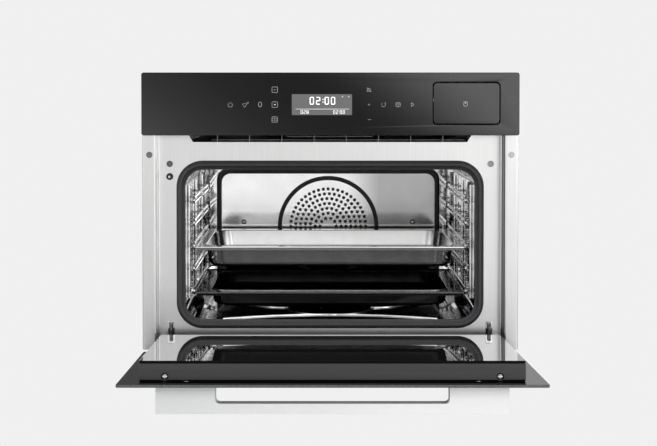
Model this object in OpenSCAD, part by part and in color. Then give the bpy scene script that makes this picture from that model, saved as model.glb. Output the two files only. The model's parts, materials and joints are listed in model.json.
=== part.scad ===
// Compact built-in steam oven with a drop-down door.
// Frame: x = 0 on the centre line, y = 0 in the cabinet's front plane with +y to the rear,
// z = 0 on the underside of the base pan. The door stands open at rest.

/* [Front] */
// Width of the control panel, the flanges and the door glass
front_w = 595; // [585:1:605]
// Height from the base pan's underside to the top of the control panel
front_h = 455; // [452:1:462]
// Height of the control panel
panel_h = 99; // [96:1:102]
// How far the outer glass stands ahead of the cabinet
front_proud = 21; // [20:0.5:22]
// Thickness of the glass panes
glass_t = 4; // [3.5:0.1:4.2]
// Corner radius of the outer panes
glass_r = 4; // [2:0.5:6]

/* [Front frame] */
// Thickness of the frame's sheet steel
sheet_t = 1.2; // [0.8:0.1:1.4]
// Width of the flange at each side
flange_w = 21; // [19:0.5:22]
// How far the flange stands ahead of the cabinet
flange_proud = 12; // [11:0.5:12.5]
// Setback of the recessed middle of the frame behind the cabinet front
frame_y = 20; // [18.5:0.5:22]
// Height of the frame's lower edge
frame_z = 16; // [15:0.5:18]
// Radius of the cabinet screw holes
screw_hole_r = 2.75; // [2.25:0.25:3]
// Distance of the cabinet screws below the control panel
screw_drop = 31; // [26:1:70]

/* [Cavity] */
// Room beside the cavity for the insulation, up to the casing
side_room = 44.5; // [43:0.5:48]
// Room above the cavity for the insulation and the air outlet
top_room = 56; // [54:0.5:60]
// Depth from the frame to the back wall
cavity_depth = 350; // [340:1:352]
// Height of the cavity floor
floor_z = 59; // [56:1:62]
// Corner radius of the cavity
cavity_r = 28; // [20:1:32]
// Wall thickness of the cavity
cavity_t = 1; // [0.8:0.1:1.2]
// Width of the door seal
seal_w = 12.6; // [10:0.2:13]
// How far the seal stands ahead of the frame
seal_proud = 8; // [6:0.5:8]
// Distance between the cavity's mouth and the seal
seal_inset = 1.7; // [1:0.1:2]
// Thickness of the insulation round the cavity
insulation_t = 24; // [18:1:25]

/* [Fan] */
// Radius of the convection fan
fan_r = 72; // [60:1:76]
// Depth of the pocket that the fan turns in
pocket_depth = 35; // [32:1:38]
// Distance between the fan pocket and each side wall
pocket_side = 26.5; // [24:0.5:32]
// Distance between the fan pocket and the cavity's top
pocket_drop = 19; // [16:0.5:24]
// Air gap all round the baffle plate
baffle_gap = 9; // [6:0.5:12]
// Distance between the rings of perforations
perforation_pitch = 9; // [8:0.25:11]
// Radius of one perforation
perforation_r = 2.75; // [2:0.25:3]

/* [Trays] */
// Distance between the tray rims and each side wall
tray_side = 7; // [6.5:0.5:9]
// Distance between the trays and the back wall
tray_back = 27; // [25:1:45]
// Width of the steel tray's rim
rim_w = 22; // [18:0.5:26]
// Width of the enamelled tray's rim
enamel_rim_w = 30; // [22:0.5:34]
// Depth of the steel tray
steel_tray_h = 34; // [25:1:38]
// Depth of the enamelled tray
enamel_tray_h = 26; // [18:1:28]
// Thickness of the tray metal
tray_t = 1; // [0.8:0.1:1.2]
// Height of the lowest shelf level above the cavity's floor
level_rise = 40; // [38:1:43]
// Distance between the highest shelf level and the cavity's top
level_drop = 53; // [48:1:56]
// Number of shelf levels
levels = 5; // [3:1:5]
// Radius of the rack wires
wire_r = 2; // [1.6:0.1:2.2]

/* [Door] */
// Angle of the open door
door_open = 87.4; // [85:0.1:88]
// Height of the open gap between the outer glass and the control panel
door_gap = 16; // [14:0.5:18]
// Distance of the pivot behind the front plane of the cabinet, negative towards the user
pivot_y = -6; // [-7:0.25:-5]
// Height of the hinge pivot
pivot_z = 22; // [21.5:0.25:23]
// Radius of the hinge pins
pin_r = 3; // [2.5:0.1:3.2]
// Radial play of a pin or shaft in its bore
fit = 0.05; // [0.03:0.01:0.08]
// Distance between the door body and each flange
door_side = 8; // [6:0.5:11]
// Distance from the top of the outer glass to the door body
door_setback = 29; // [26:1:32]
// Distance of the inner glass ahead of the frame when the door is shut
door_air = 8.3; // [8.3:0.1:9]

/* [Handle] */
// Width of the handle
handle_w = 489; // [470:1:500]
// Height of the handle
handle_h = 22; // [18:1:26]
// How far the handle stands off the outer glass
handle_reach = 39; // [34:1:42]
// Thickness of the grip bar
grip_t = 14; // [10:1:16]
// Width of each solid end
handle_end_w = 82.5; // [70:0.5:90]
// Distance from the top of the glass to the handle
handle_drop = 19; // [14:1:22]

/* [Water tank] */
// Width of the tank front
tank_w = 105; // [98:1:108]
// Height of the tank front
tank_h = 66; // [62:1:68]
// Length of the tank behind its front
tank_l = 199; // [170:1:205]
// Distance of the tank front's centre from the end of the control panel
tank_in = 83.5; // [82:0.5:88]
// Height of the tank front's centre above the control panel's lower edge
tank_rise = 50.4; // [48:0.2:52]
// Wall thickness of the tank
tank_t = 2; // [1.6:0.1:2.4]

/* [Casing] */
// Room behind the cavity for the fan's motor, the pipe and the wiring
rear_room = 176; // [170:1:190]
// Distance of the casing's top below the top of the control panel
panel_lip = 8; // [7:0.5:10]
// Thickness of the casing sheet
casing_t = 1; // [0.8:0.1:1.2]
// Radius of the cable gland's bore
gland_r = 6; // [5:0.25:7]

/* [Hidden] */
$fn = 48;

steel = "#d8d8d6";
bright = "#c9cacb";
black_glass = "#26272a";
dark_plastic = "#3a3b3d";
seal_grey = "#47484a";
zinc = "#b4b6b8";
enamel = "#1b1b1d";

// A hair of overlap where a cut has to break through a face
eps = 0.5;
// Clearance between pieces that are fitted loosely
loose = 0.3;

// Places that follow from the sizes above
front_half = front_w / 2;
flange_x = front_half - flange_w;
frame_rear = frame_y + sheet_t;
casing_h = front_h - panel_lip;
frame_top = casing_h - casing_t;
panel_z = front_h - panel_h;
cavity_top = panel_z - top_room;
cavity_h = cavity_top - floor_z;
cavity_w = 2 * (flange_x - side_room);
cavity_mid = floor_z + cavity_h / 2;
back_y = frame_y + cavity_depth;
casing_depth = back_y + rear_room;
seal_in_w = cavity_w + 2 * seal_inset;
seal_in_h = cavity_h + 2 * seal_inset;
seal_in_r = cavity_r + seal_inset;
pocket_w = cavity_w - 2 * pocket_side;
pocket_low = 4;
pocket_h = cavity_h - pocket_drop - pocket_low;
pocket_z = floor_z + pocket_low + pocket_h / 2;
fan_rise = 2.4;
fan_z = pocket_z + fan_rise;
baffle_w = pocket_w - 2 * baffle_gap;
baffle_h = pocket_h - 2 * baffle_gap;
casing_x = flange_x + casing_t;
tank_x = front_half - tank_in;
tank_z = panel_z + tank_rise;
display_z = panel_z + 48.5;

// The air outlet slot lies just under the control panel
slot_z0 = panel_z - 12.7;
slot_top_half = flange_x - 47.5;
slot_bottom_half = slot_top_half - 9.5;

// Hinge places, one set for both sides
hinge_x = flange_x - 21.5;
claw_t = 4;
claw_low = pivot_z - 7;
hook_z0 = pivot_z + 16;
hook_h = 14;
hook_end = 60;
plate_t = 1.2;
claw_rear = frame_y - plate_t - loose;

// Door planes, given for the shut door
door_top = panel_z - door_gap;
door_low = frame_z;
outer_y = -front_proud;
outer_rear = outer_y + glass_t;
inner_y = frame_y - door_air;
inner_front = inner_y - glass_t;
body_top = door_top - door_setback;
body_low = pivot_z + 8;
door_w = 2 * (flange_x - door_side);
body_half = door_w / 2;

// Planes of the control panel and the tank
panel_rear = outer_y + glass_t;
tank_front_y = panel_rear + 8;
tank_end = tank_front_y + tank_l;

// Cabinet screws and the pieces near them
screw_x = flange_x + 9.5;
screw_z = panel_z - screw_drop;
bumper_x = flange_x - 19.5;
bumper_z = cavity_top + 9;
switch_z = cavity_top - 11.3;

module rounded(w, h, r) {
    square([w - 2 * r, h], center = true);
    square([w, h - 2 * r], center = true);
    for (sx = [-1, 1], sy = [-1, 1])
        translate([sx * (w / 2 - r), sy * (h / 2 - r)]) circle(r);
}

// A sheet that lies across the y axis, drawn as x and z
module sheet_y(y, t) translate([0, y + t, 0]) rotate([90, 0, 0]) linear_extrude(t) children();

// A sheet that lies across the x axis, drawn as y and z
module sheet_x(x, t) translate([x, 0, 0]) rotate([90, 0, 90]) linear_extrude(t) children();

module rod_y(x, z, r, y, l) translate([x, y + l, z]) rotate([90, 0, 0]) cylinder(r = r, h = l);

module rod_x(y, z, r, x, l) translate([x, y, z]) rotate([0, 90, 0]) cylinder(r = r, h = l);

module rod_z(x, y, r, z, l) translate([x, y, z]) cylinder(r = r, h = l);

// A box from its lowest to its highest corner
module box(a, b) translate(a) cube(b - a);

module both_sides() {
    children();
    mirror([1, 0, 0]) children();
}

// Carries a piece from its place in the shut door to the open door
module on_door() translate([0, pivot_y, pivot_z]) rotate([door_open, 0, 0])
    translate([0, -pivot_y, -pivot_z]) children();

// ---- Front frame and what is fixed to it ----

slot_points = [
    [-slot_bottom_half, slot_z0], [slot_bottom_half, slot_z0],
    [slot_top_half, panel_z + 4], [-slot_top_half, panel_z + 4]
];
// Hole in the frame that the tank and its housing pass through
tank_port = 3;
// Hole in the frame behind the display for its wires
loom_port = [-100, 60, panel_z + 22, panel_z + 82];

module front_frame() color(steel) {
    difference() {
        union() {
            box([-flange_x, frame_y, frame_z], [flange_x, frame_rear, frame_top]);
            both_sides() {
                box([flange_x - sheet_t, -flange_proud, frame_z], [flange_x, frame_rear, frame_top]);
                box([flange_x - sheet_t, -flange_proud, frame_z],
                    [front_half, sheet_t - flange_proud, frame_top]);
                box([front_half - sheet_t, -flange_proud, frame_z], [front_half, 0, frame_top]);
            }
        }
        sheet_y(frame_y - eps, sheet_t + 2 * eps) {
            translate([0, cavity_mid]) rounded(cavity_w, cavity_h, cavity_r);
            polygon(slot_points);
            translate([tank_x, tank_z])
                square([tank_w + 2 * tank_port, tank_h + 2 * tank_port], center = true);
            translate([loom_port[0], loom_port[2]])
                square([loom_port[1] - loom_port[0], loom_port[3] - loom_port[2]]);
            translate([-bumper_x, switch_z]) circle(switch_r + fit);
            for (s = [-1, 1]) translate([s * hinge_x, hook_z0 + hook_h / 2])
                square([claw_t + 2, hook_h + 2], center = true);
        }
        both_sides() rod_y(screw_x, screw_z, grommet_r + fit, -flange_proud - eps, sheet_t + 2 * eps);
    }
}

module mounting_strips() color(zinc) both_sides() difference() {
    box([casing_x + eps, sheet_t - flange_proud, frame_z], [front_half - sheet_t, 0, frame_top]);
    rod_y(screw_x, screw_z, screw_hole_r, -flange_proud, flange_proud + eps);
}

grommet_r = 5;

module screw_grommets() color("gray") both_sides() difference() {
    rod_y(screw_x, screw_z, grommet_r, -flange_proud - 0.8, sheet_t + 0.8);
    rod_y(screw_x, screw_z, screw_hole_r, -flange_proud - 2, flange_proud);
}

module door_bumpers() color("gray") both_sides()
    rod_y(bumper_x, bumper_z, grommet_r, frame_y - 2, 2);

module hinge_plates() color(bright) both_sides() sheet_y(frame_y - plate_t, plate_t) difference() {
    translate([hinge_x, hook_z0 + hook_h / 2]) square([11, 24], center = true);
    translate([hinge_x, hook_z0 + hook_h / 2]) square([claw_t + 2, hook_h + 2], center = true);
}

// Fixed claw: knuckle at the pivot, a foot under the door body and a hook through the frame
module hinge_claws() color(zinc) both_sides() difference() {
    sheet_x(hinge_x - claw_t / 2, claw_t) {
        translate([pivot_y, pivot_z]) circle(7);
        polygon([
            [pivot_y, claw_low], [claw_rear, claw_low], [claw_rear, hook_z0],
            [hook_end, hook_z0], [hook_end, hook_z0 + hook_h], [inner_y + 1.3, hook_z0 + hook_h],
            [inner_y + 1.3, pivot_z + 5], [pivot_y, pivot_z + 5]
        ]);
    }
    rod_x(pivot_y, pivot_z, pin_r + fit, hinge_x - claw_t, 2 * claw_t);
}

// Channel behind the frame that takes the claw's hook
module hinge_receivers() color(zinc) both_sides() difference() {
    box([hinge_x - 6, frame_rear, hook_z0 - 5], [hinge_x + 6, hook_end + 5, hook_z0 + hook_h + 5]);
    box([hinge_x - claw_t / 2, frame_y, hook_z0], [hinge_x + claw_t / 2, hook_end, hook_z0 + hook_h]);
}

switch_r = 5.4;
plunger_r = 2.75;
plunger_tip = inner_y + 0.5;
switch_rear = 50;

module door_switch() color("black") difference() {
    union() {
        rod_y(-bumper_x, switch_z, switch_r, frame_y - 3, 10);
        box([-bumper_x - 8, frame_rear, switch_z - 9], [-bumper_x + 8, switch_rear, switch_z + 9]);
    }
    rod_y(-bumper_x, switch_z, plunger_r + fit, 0, switch_rear - 3);
}

module switch_plunger() color("black")
    rod_y(-bumper_x, switch_z, plunger_r, plunger_tip, switch_rear - 8 - plunger_tip);

// ---- Cooking cavity ----

wall_x = cavity_w / 2;
dish_back = 232;
dish_y = back_y - dish_back;
dish_r = 70;
lamp_y = back_y - 70;
lamp_z = cavity_top - 38;
lamp_r = 22;
probe_x = wall_x - 52;
probe_z = cavity_top - 10;
element_r = 3.2;

module cavity_outline(grow) translate([0, cavity_mid])
    rounded(cavity_w + 2 * grow, cavity_h + 2 * grow, cavity_r + grow);

module pocket_outline(grow) translate([0, pocket_z])
    rounded(pocket_w + 2 * grow, pocket_h + 2 * grow, 20 + grow);

// Wrapped sheet that makes the floor, the sides and the top
module cavity_shell() color(bright) difference() {
    sheet_y(frame_rear, back_y - frame_rear) cavity_outline(cavity_t);
    sheet_y(frame_y, cavity_depth + eps) cavity_outline(0);
    rod_z(0, dish_y, dish_r, floor_z - 10, 20);
    rod_x(lamp_y, lamp_z, lamp_r, -wall_x - 5, 10);
}

// Back wall with the pressed pocket that the fan turns in
module cavity_back() color(bright) difference() {
    union() {
        sheet_y(back_y, cavity_t) cavity_outline(cavity_t);
        sheet_y(back_y, pocket_depth + cavity_t) pocket_outline(cavity_t);
    }
    sheet_y(back_y - eps, pocket_depth + eps) pocket_outline(0);
    rod_y(0, fan_z, 8, back_y, pocket_depth + 10);
    rod_y(probe_x, probe_z, 3, back_y - 5, 10);
    for (s = [-1, 1]) rod_y(s * ring_heater_r, fan_z, element_r + 0.1, back_y, pocket_depth + 10);
}

module door_seal() color(seal_grey) sheet_y(frame_y - seal_proud, seal_proud) difference() {
    translate([0, cavity_mid])
        rounded(seal_in_w + 2 * seal_w, seal_in_h + 2 * seal_w, seal_in_r + seal_w);
    translate([0, cavity_mid]) rounded(seal_in_w, seal_in_h, seal_in_r);
}

module insulation() color("khaki") difference() {
    sheet_y(70, back_y - 71) cavity_outline(cavity_t + insulation_t);
    sheet_y(69, back_y - 69) cavity_outline(cavity_t);
    rod_z(0, dish_y, dish_r + 8, floor_z - 40, 40);
    rod_x(lamp_y, lamp_z, lamp_r + 6, -wall_x - 60, 70);
}

// ---- Racks and trays ----

post_r = 2.2;
post_x = wall_x - post_r;
tray_w = cavity_w - 2 * tray_side;
level_z = floor_z + level_rise;
level_pitch = (cavity_top - level_drop - level_z) / (levels - 1);
ledge_x = tray_w / 2 - 4;
rack_front = frame_y + 30;
tray_y = rack_front - 5;
tray_l = back_y - tray_back - tray_y;
rack_rear = rack_front + tray_l - 3;
rack_posts = [rack_front + 14, (rack_front + rack_rear) / 2, rack_rear - 14];
rack_low = floor_z + cavity_r;
rack_high = cavity_top - cavity_r;

// One level: a ledge wire under the rim and a guard wire over it, held by short cross wires
module rack_level(z) {
    ledge_z = z - tray_t - wire_r - 0.2;
    guard_z = z + wire_r + 3;
    for (h = [ledge_z, guard_z]) {
        rod_y(ledge_x, h, wire_r, rack_front, rack_rear - rack_front);
        for (y = rack_posts) rod_x(y, h, wire_r - 0.2, ledge_x, post_x - ledge_x);
    }
}

module rack() color(bright) {
    for (y = rack_posts) rod_z(post_x, y, post_r, rack_low, rack_high - rack_low);
    for (i = [0 : levels - 1]) rack_level(level_z + i * level_pitch);
}

module rack_left() mirror([1, 0, 0]) rack();
module rack_right() rack();

nut_r = 6;

module rack_nuts() color(bright) both_sides()
    for (y = [rack_posts[0], rack_posts[2]])
        rod_x(y + post_r + nut_r + 0.1, cavity_mid, nut_r, wall_x - 6, 6);

// Corner radius of a trough, the lean of its walls and the bevel round its floor
trough_r = 30;
lean = 3;
bevel = 7;
lip_h = 5;

// A tray with a flat rim, a turned-down lip at the front and a trough, its rim at the given height
module tray(z, depth, rim) {
    w = tray_w - 2 * rim;
    l = tray_l - 2 * rim;
    translate([0, tray_y + tray_l / 2, z - tray_t]) difference() {
        union() {
            linear_extrude(tray_t) rounded(tray_w, tray_l, 8);
            trough(w + 2 * tray_t, l + 2 * tray_t, trough_r + tray_t, depth);
            box([8 - tray_w / 2, -tray_l / 2, -lip_h], [tray_w / 2 - 8, tray_t - tray_l / 2, tray_t]);
        }
        translate([0, 0, tray_t]) trough(w, l, trough_r, depth);
    }
}

module trough(w, l, r, depth) hull() {
    trough_layer(w, l, r, 0);
    trough_layer(w - 2 * lean, l - 2 * lean, r, bevel - depth);
    trough_layer(w - 2 * (lean + bevel), l - 2 * (lean + bevel), r - bevel, eps - depth);
}

module trough_layer(w, l, r, z) translate([0, 0, z - eps]) linear_extrude(eps) rounded(w, l, r, $fn = 32);

steel_level = 2;
module steel_tray() color(bright) tray(level_z + steel_level * level_pitch, steel_tray_h, rim_w);
module enamel_tray() color(enamel) tray(level_z, enamel_tray_h, enamel_rim_w);

// ---- Fan, heaters, lamp and probe ----

// The ring heater lies midway between the fan's blades and the pocket's edge
ring_heater_r = (fan_r + pocket_h / 2) / 2 - fan_rise;
baffle_t = 1.2;
baffle_screw_x = pocket_w / 2 - 50;
baffle_screw_z = pocket_z + 10.5;
shaft_r = 4;
motor_y = back_y + pocket_depth + 20;

module fan_baffle() color(bright) difference() {
    union() {
        sheet_y(back_y - baffle_t, baffle_t) translate([0, pocket_z]) rounded(baffle_w, baffle_h, 17);
        rod_y(0, fan_z, ring_heater_r + 5, back_y - baffle_t - 1, 1 + baffle_t / 2);
    }
    rod_y(0, fan_z, ring_heater_r - 2.7, back_y - baffle_t - 5, 5);
    for (s = [-1, 1]) rod_y(s * baffle_screw_x, baffle_screw_z, 2, back_y - 5, 10);
    for (k = [0 : floor((fan_r - 3 - 15) / perforation_pitch)]) {
        ring = 15 + k * perforation_pitch;
        count = floor(2 * PI * ring / perforation_pitch);
        for (i = [0 : count - 1])
            rod_y(ring * cos(360 * i / count), fan_z + ring * sin(360 * i / count),
                perforation_r, back_y - 5, 10, $fn = 24);
    }
}

// Screws with the spacer posts that hold the baffle off the pocket's back wall
module baffle_screws() color(zinc) for (s = [-1, 1]) {
    rod_y(s * baffle_screw_x, baffle_screw_z, 4.5, back_y - baffle_t - 2.2, 2.2);
    rod_y(s * baffle_screw_x, baffle_screw_z, 1.9, back_y - baffle_t - 1, baffle_t + 1);
    rod_y(s * baffle_screw_x, baffle_screw_z, 5, back_y, pocket_depth);
}

fan_blades = 14;

module convection_fan() color(zinc) {
    rod_y(0, fan_z, fan_r, back_y + 26, 1.2);
    rod_y(0, fan_z, 9, back_y + 8, 19);
    rod_y(0, fan_z, shaft_r, back_y + 20, motor_y + 18 - back_y - 20);
    for (i = [0 : fan_blades - 1]) translate([0, back_y + 9, fan_z]) rotate([0, i * 360 / fan_blades, 0])
        translate([fan_r - 26, 0, -0.5]) cube([25, 17.5, 1]);
}

module fan_motor() color("silver") difference() {
    union() {
        rod_y(0, fan_z, 36, motor_y, 55);
        for (a = [30, 150, 270]) rod_y(30 * cos(a), fan_z + 30 * sin(a), 4,
            back_y + pocket_depth + cavity_t, 20 - cavity_t);
    }
    rod_y(0, fan_z, shaft_r + fit, motor_y - 5, 25);
}

module ring_heater() color("dimgray") {
    translate([0, back_y + 15, fan_z]) rotate([90, 0, 0]) rotate_extrude()
        translate([ring_heater_r, 0]) circle(element_r);
    for (s = [-1, 1]) rod_y(s * ring_heater_r, fan_z, element_r, back_y + 15, pocket_depth);
}

module evaporator_dish() color(bright) translate([0, dish_y, floor_z]) rotate_extrude() polygon([
    [0, -9], [dish_r - 8, -9], [dish_r - loose, -1], [dish_r - loose, 0], [dish_r + 6, 0],
    [dish_r + 5, 1], [dish_r - 2, 1], [dish_r - 9, -8], [0, -8]
]);

module evaporator_heater() color("dimgray") {
    rod_z(0, dish_y, 58, floor_z - 17, 8);
    rod_z(pipe_x, dish_y, 5, floor_z - 26, 10);
}

module lamp_lens() color("lightyellow", 0.6) {
    rod_x(lamp_y, lamp_z, lamp_r - 0.2, -wall_x - 5, 6);
    rod_x(lamp_y, lamp_z, lamp_r - 4, -wall_x + 0.5, 1);
}

module lamp_holder() color("ivory") difference() {
    rod_x(lamp_y, lamp_z, lamp_r + 3, -wall_x - 30, 30 - cavity_t);
    rod_x(lamp_y, lamp_z, lamp_r, -wall_x - 5, 5);
    rod_x(lamp_y, lamp_z, lamp_r - 6, -wall_x - 25, 25);
}

module temperature_probe() color(bright) {
    rod_y(probe_x, probe_z, 2.5, back_y - 60, 80);
    rod_y(probe_x, probe_z, 6, back_y + cavity_t, 6);
}

// ---- Casing ----

casing_in = casing_x - casing_t;
casing_rear = casing_depth;
gland_x = casing_in - 76.5;
gland_z = floor_z + 16;
louvre_w = 70;
louvre_pitch = 100;
louvre_z = panel_z - 26;

// The pan's front wall stands against the frame's rear face
module base_pan() color(zinc) {
    box([-casing_x, -4, 0], [casing_x, casing_rear - casing_t, 1.2]);
    box([-flange_x + 1, frame_rear, 1.2], [flange_x - 1, frame_rear + 1.2, frame_z + 14]);
}

module side_panels() color(zinc) both_sides()
    box([casing_in, 0, 1.2], [casing_x, casing_rear - casing_t, casing_h - casing_t]);

module top_cover() color(zinc)
    box([-casing_x, frame_rear, casing_h - casing_t], [casing_x, casing_rear - casing_t, casing_h]);

module rear_cover() color(zinc) difference() {
    box([-casing_x, casing_rear - casing_t, 0], [casing_x, casing_rear, casing_h]);
    rod_y(gland_x, gland_z, gland_thread_r + 0.1, casing_rear - 5, 10);
    for (i = [-2 : 1], k = [0 : 4])
        translate([i * louvre_pitch, casing_rear - 5, louvre_z + 18 * k]) cube([louvre_w, 10, 6]);
}

gland_thread_r = 10;

module cable_gland() color("gray") difference() {
    union() {
        rod_y(gland_x, gland_z, gland_thread_r, casing_rear - 8, 14);
        rod_y(gland_x, gland_z, 14, casing_rear, 5);
        rod_y(gland_x, gland_z, 13, casing_rear - casing_t - 5, 5);
    }
    rod_y(gland_x, gland_z, gland_r, casing_rear - 10, 20);
}

module terminal_block() color("ivory") difference() {
    box([gland_x - 40, casing_rear - casing_t - 22, gland_z + 20],
        [gland_x + 20, casing_rear - casing_t, gland_z + 40]);
    for (i = [0 : 2]) rod_y(gland_x - 30 + i * 20, gland_z + 30, 2.5, casing_rear - casing_t - 25, 15);
}

// ---- Cooling air path ----

duct_low = slot_z0 - 2.3;
duct_top = panel_z + 2;
duct_half = slot_top_half + 3;
duct_end = back_y + 25;
blower_y = duct_end + 37;
blower_z = duct_low + 31;
blower_in_r = 32;
blower_half = 110;
rotor_r = 28;
axle_r = 3;
fin_count = 8;
fin_pitch = 2 * slot_bottom_half / (fin_count + 0.5);
fin_t = 1.2;

// Its floor runs out to the side panels and carries what stands beside the channel
module air_duct() color(zinc) {
    box([-casing_in, frame_rear, duct_low], [casing_in, duct_end, duct_low + 1]);
    box([-duct_half, frame_rear, duct_top - 1], [duct_half, duct_end, duct_top]);
    both_sides() box([duct_half - 1, frame_rear, duct_low], [duct_half, duct_end, duct_top]);
    for (x = [board_x + 15, board_x + board_w - 15], y = [board_y + 20, board_y + board_l - 20])
        rod_z(x, y, 4, duct_top, board_z - duct_top);
}

module outlet_fins() color("black") {
    for (i = [0 : fin_count - 1]) {
        x = (i - (fin_count - 1) / 2) * fin_pitch;
        box([x - fin_t / 2, frame_rear, duct_low + 1], [x + fin_t / 2, frame_rear + 16, duct_top - 1]);
    }
}

// Round chamber that opens into the duct at its foot and breathes in from behind
module blower_housing() color(zinc) {
    difference() {
        union() {
            rod_x(blower_y, blower_z, blower_in_r + 1, -blower_half, 2 * blower_half);
            box([-blower_half, duct_end, duct_low], [blower_half, blower_y, duct_top]);
        }
        rod_x(blower_y, blower_z, blower_in_r, -blower_half + 1, 2 * blower_half - 2);
        box([1 - blower_half, duct_end - 5, duct_low + 1], [blower_half - 1, blower_y, duct_top - 1]);
        box([1 - blower_half, blower_y + 5, blower_z + 2], [blower_half - 1, blower_y + 50, blower_z + 20]);
        rod_x(blower_y, blower_z, axle_r + fit, -blower_half - 5, 2 * blower_half + 10);
    }
    box([-blower_half, blower_y - 8, duct_low - foot_h], [blower_half, blower_y + 8, duct_low]);
}

foot_h = duct_low - (cavity_top + cavity_t) - 6;
rotor_blades = 20;

module cooling_fan() color(zinc) {
    half = blower_half - 3;
    rod_x(blower_y, blower_z, axle_r, -blower_half - 2, 2 * blower_half + 22);
    for (x = [-half, -0.75, half - 1.5]) rod_x(blower_y, blower_z, rotor_r, x, 1.5);
    for (i = [0 : rotor_blades - 1]) translate([0, blower_y, blower_z]) rotate([i * 360 / rotor_blades, 0, 0])
        translate([-half, rotor_r - 7, -0.4]) cube([2 * half, 6, 0.8]);
}

module blower_motor() color("silver") difference() {
    union() {
        rod_x(blower_y, blower_z, 26, blower_half + 6, 44);
        box([blower_half, blower_y - 18, blower_z + 10], [blower_half + 8, blower_y + 18, blower_z + 16]);
        box([blower_half, blower_y - 18, blower_z - 16], [blower_half + 8, blower_y + 18, blower_z - 10]);
    }
    rod_x(blower_y, blower_z, axle_r + fit, blower_half + 2, 30);
}

// ---- Electronics and water circuit ----

board_w = 140;
board_l = 160;
board_x = -duct_half - 3;
board_y = frame_y + 40;
board_z = duct_top + 8;
chip_z = board_z + 1.6;

module power_board() color("darkgreen") {
    box([board_x, board_y, board_z], [board_x + board_w, board_y + board_l, chip_z]);
    for (i = [0 : 2]) rod_z(board_x + 20 + i * 28, board_y + 40, 10, chip_z, 26);
    for (i = [0 : 3]) translate([board_x + 10 + i * 30, board_y + 90, chip_z]) cube([22, 30, 20]);
    translate([board_x + 95, board_y + 12, chip_z]) cube([32, 48, 32]);
}

pump_x = casing_in - 21.5;
pump_y = tank_end + 40;
pump_l = 70;
pump_axis_z = duct_low + 38;
pipe_r = 4;
pipe_x = 40;
pipe_top = duct_low + 12;
pipe_rear = duct_end + 20;
pipe_low = floor_z - 34;

module steam_pump() color("dimgray") {
    box([pump_x - 19, pump_y, duct_low + 1], [pump_x + 19, pump_y + pump_l, duct_low + 27]);
    rod_y(pump_x, pump_axis_z, 17, pump_y + 8, pump_l - 16);
    box([pump_x - 12, pump_y + 8, duct_low + 27], [pump_x + 12, pump_y + pump_l - 8, pump_axis_z + 2]);
}

// Pipe from the pump down the rear and under the cavity to the evaporator
pipe_run = [
    [pump_x, pump_y + pump_l, pipe_top], [pump_x, pipe_rear, pipe_top], [pump_x, pipe_rear, pipe_low],
    [pipe_x, pipe_rear, pipe_low], [pipe_x, dish_y, pipe_low], [pipe_x, dish_y, floor_z - 26]
];

module straight(a, b, r) {
    d = b - a;
    len = norm(d);
    translate(a) rotate([0, acos(d[2] / len), atan2(d[1], d[0])]) cylinder(r = r, h = len);
}

module water_pipe() color("silver") {
    for (i = [0 : len(pipe_run) - 2]) straight(pipe_run[i], pipe_run[i + 1], pipe_r);
    for (i = [1 : len(pipe_run) - 2]) translate(pipe_run[i]) sphere(pipe_r);
}

// ---- Control panel ----

panel_mid = panel_z + panel_h / 2;
carrier_t = 5;
tank_r = 6;
tank_gap = 0.8;
display_x = -13.4;
display_w = 98;
display_h = 36;
board_gap = 7.5;

module tank_outline(grow) translate([tank_x, tank_z])
    rounded(tank_w + 2 * grow, tank_h + 2 * grow, tank_r + grow);

module control_glass() color(black_glass) sheet_y(outer_y, glass_t) difference() {
    translate([0, panel_mid]) rounded(front_w, panel_h, glass_r);
    tank_outline(tank_gap);
}

module panel_carrier() color(dark_plastic) difference() {
    union() {
        sheet_y(panel_rear, carrier_t) translate([0, panel_mid])
            square([front_w - 6, panel_h - 6], center = true);
        box([1 - flange_x + sheet_t, panel_rear, panel_z + 4],
            [flange_x - sheet_t - 1, frame_y, frame_top - 2]);
    }
    box([3 - flange_x + sheet_t, panel_rear + carrier_t, panel_z + 6],
        [flange_x - sheet_t - 3, frame_y + eps, frame_top - 4]);
    sheet_y(panel_rear - eps, carrier_t + 1) tank_outline(tank_gap);
    sheet_y(panel_rear - eps, carrier_t + 1) translate([display_x, display_z])
        square([display_w + 1, display_h + 1], center = true);
}

module display_module() color("slategray") sheet_y(panel_rear, carrier_t + board_gap)
    translate([display_x, display_z]) square([display_w, display_h], center = true);

// Carries the touch keys on both sides of the display
touch_x = [-170, 145];
touch_half_h = 30;
touch_y = panel_rear + carrier_t + board_gap;

module touch_board() color("darkgreen") {
    box([touch_x[0], touch_y, display_z - touch_half_h],
        [touch_x[1], touch_y + 1.6, display_z + touch_half_h]);
    for (x = [touch_x[0] + 10, touch_x[1] - 10], z = [-touch_half_h + 6, touch_half_h - 6])
        rod_y(x, display_z + z, 3, panel_rear + carrier_t, board_gap);
}

// ---- Water tank and its housing ----

tank_body_w = tank_w - 7;
tank_body_h = tank_h - 9;
tank_low = tank_z - tank_body_h / 2 - 1;
runner_h = 1.2;
housing_t = 1.5;
housing_low = tank_low - runner_h - loose - housing_t;
lid_t = 3;

module tank_front() color(black_glass) {
    sheet_y(outer_y, glass_t) tank_outline(0);
    sheet_y(panel_rear, 8) translate([tank_x, tank_z]) rounded(tank_w - 5, tank_h - 5, tank_r - 1);
}

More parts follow.
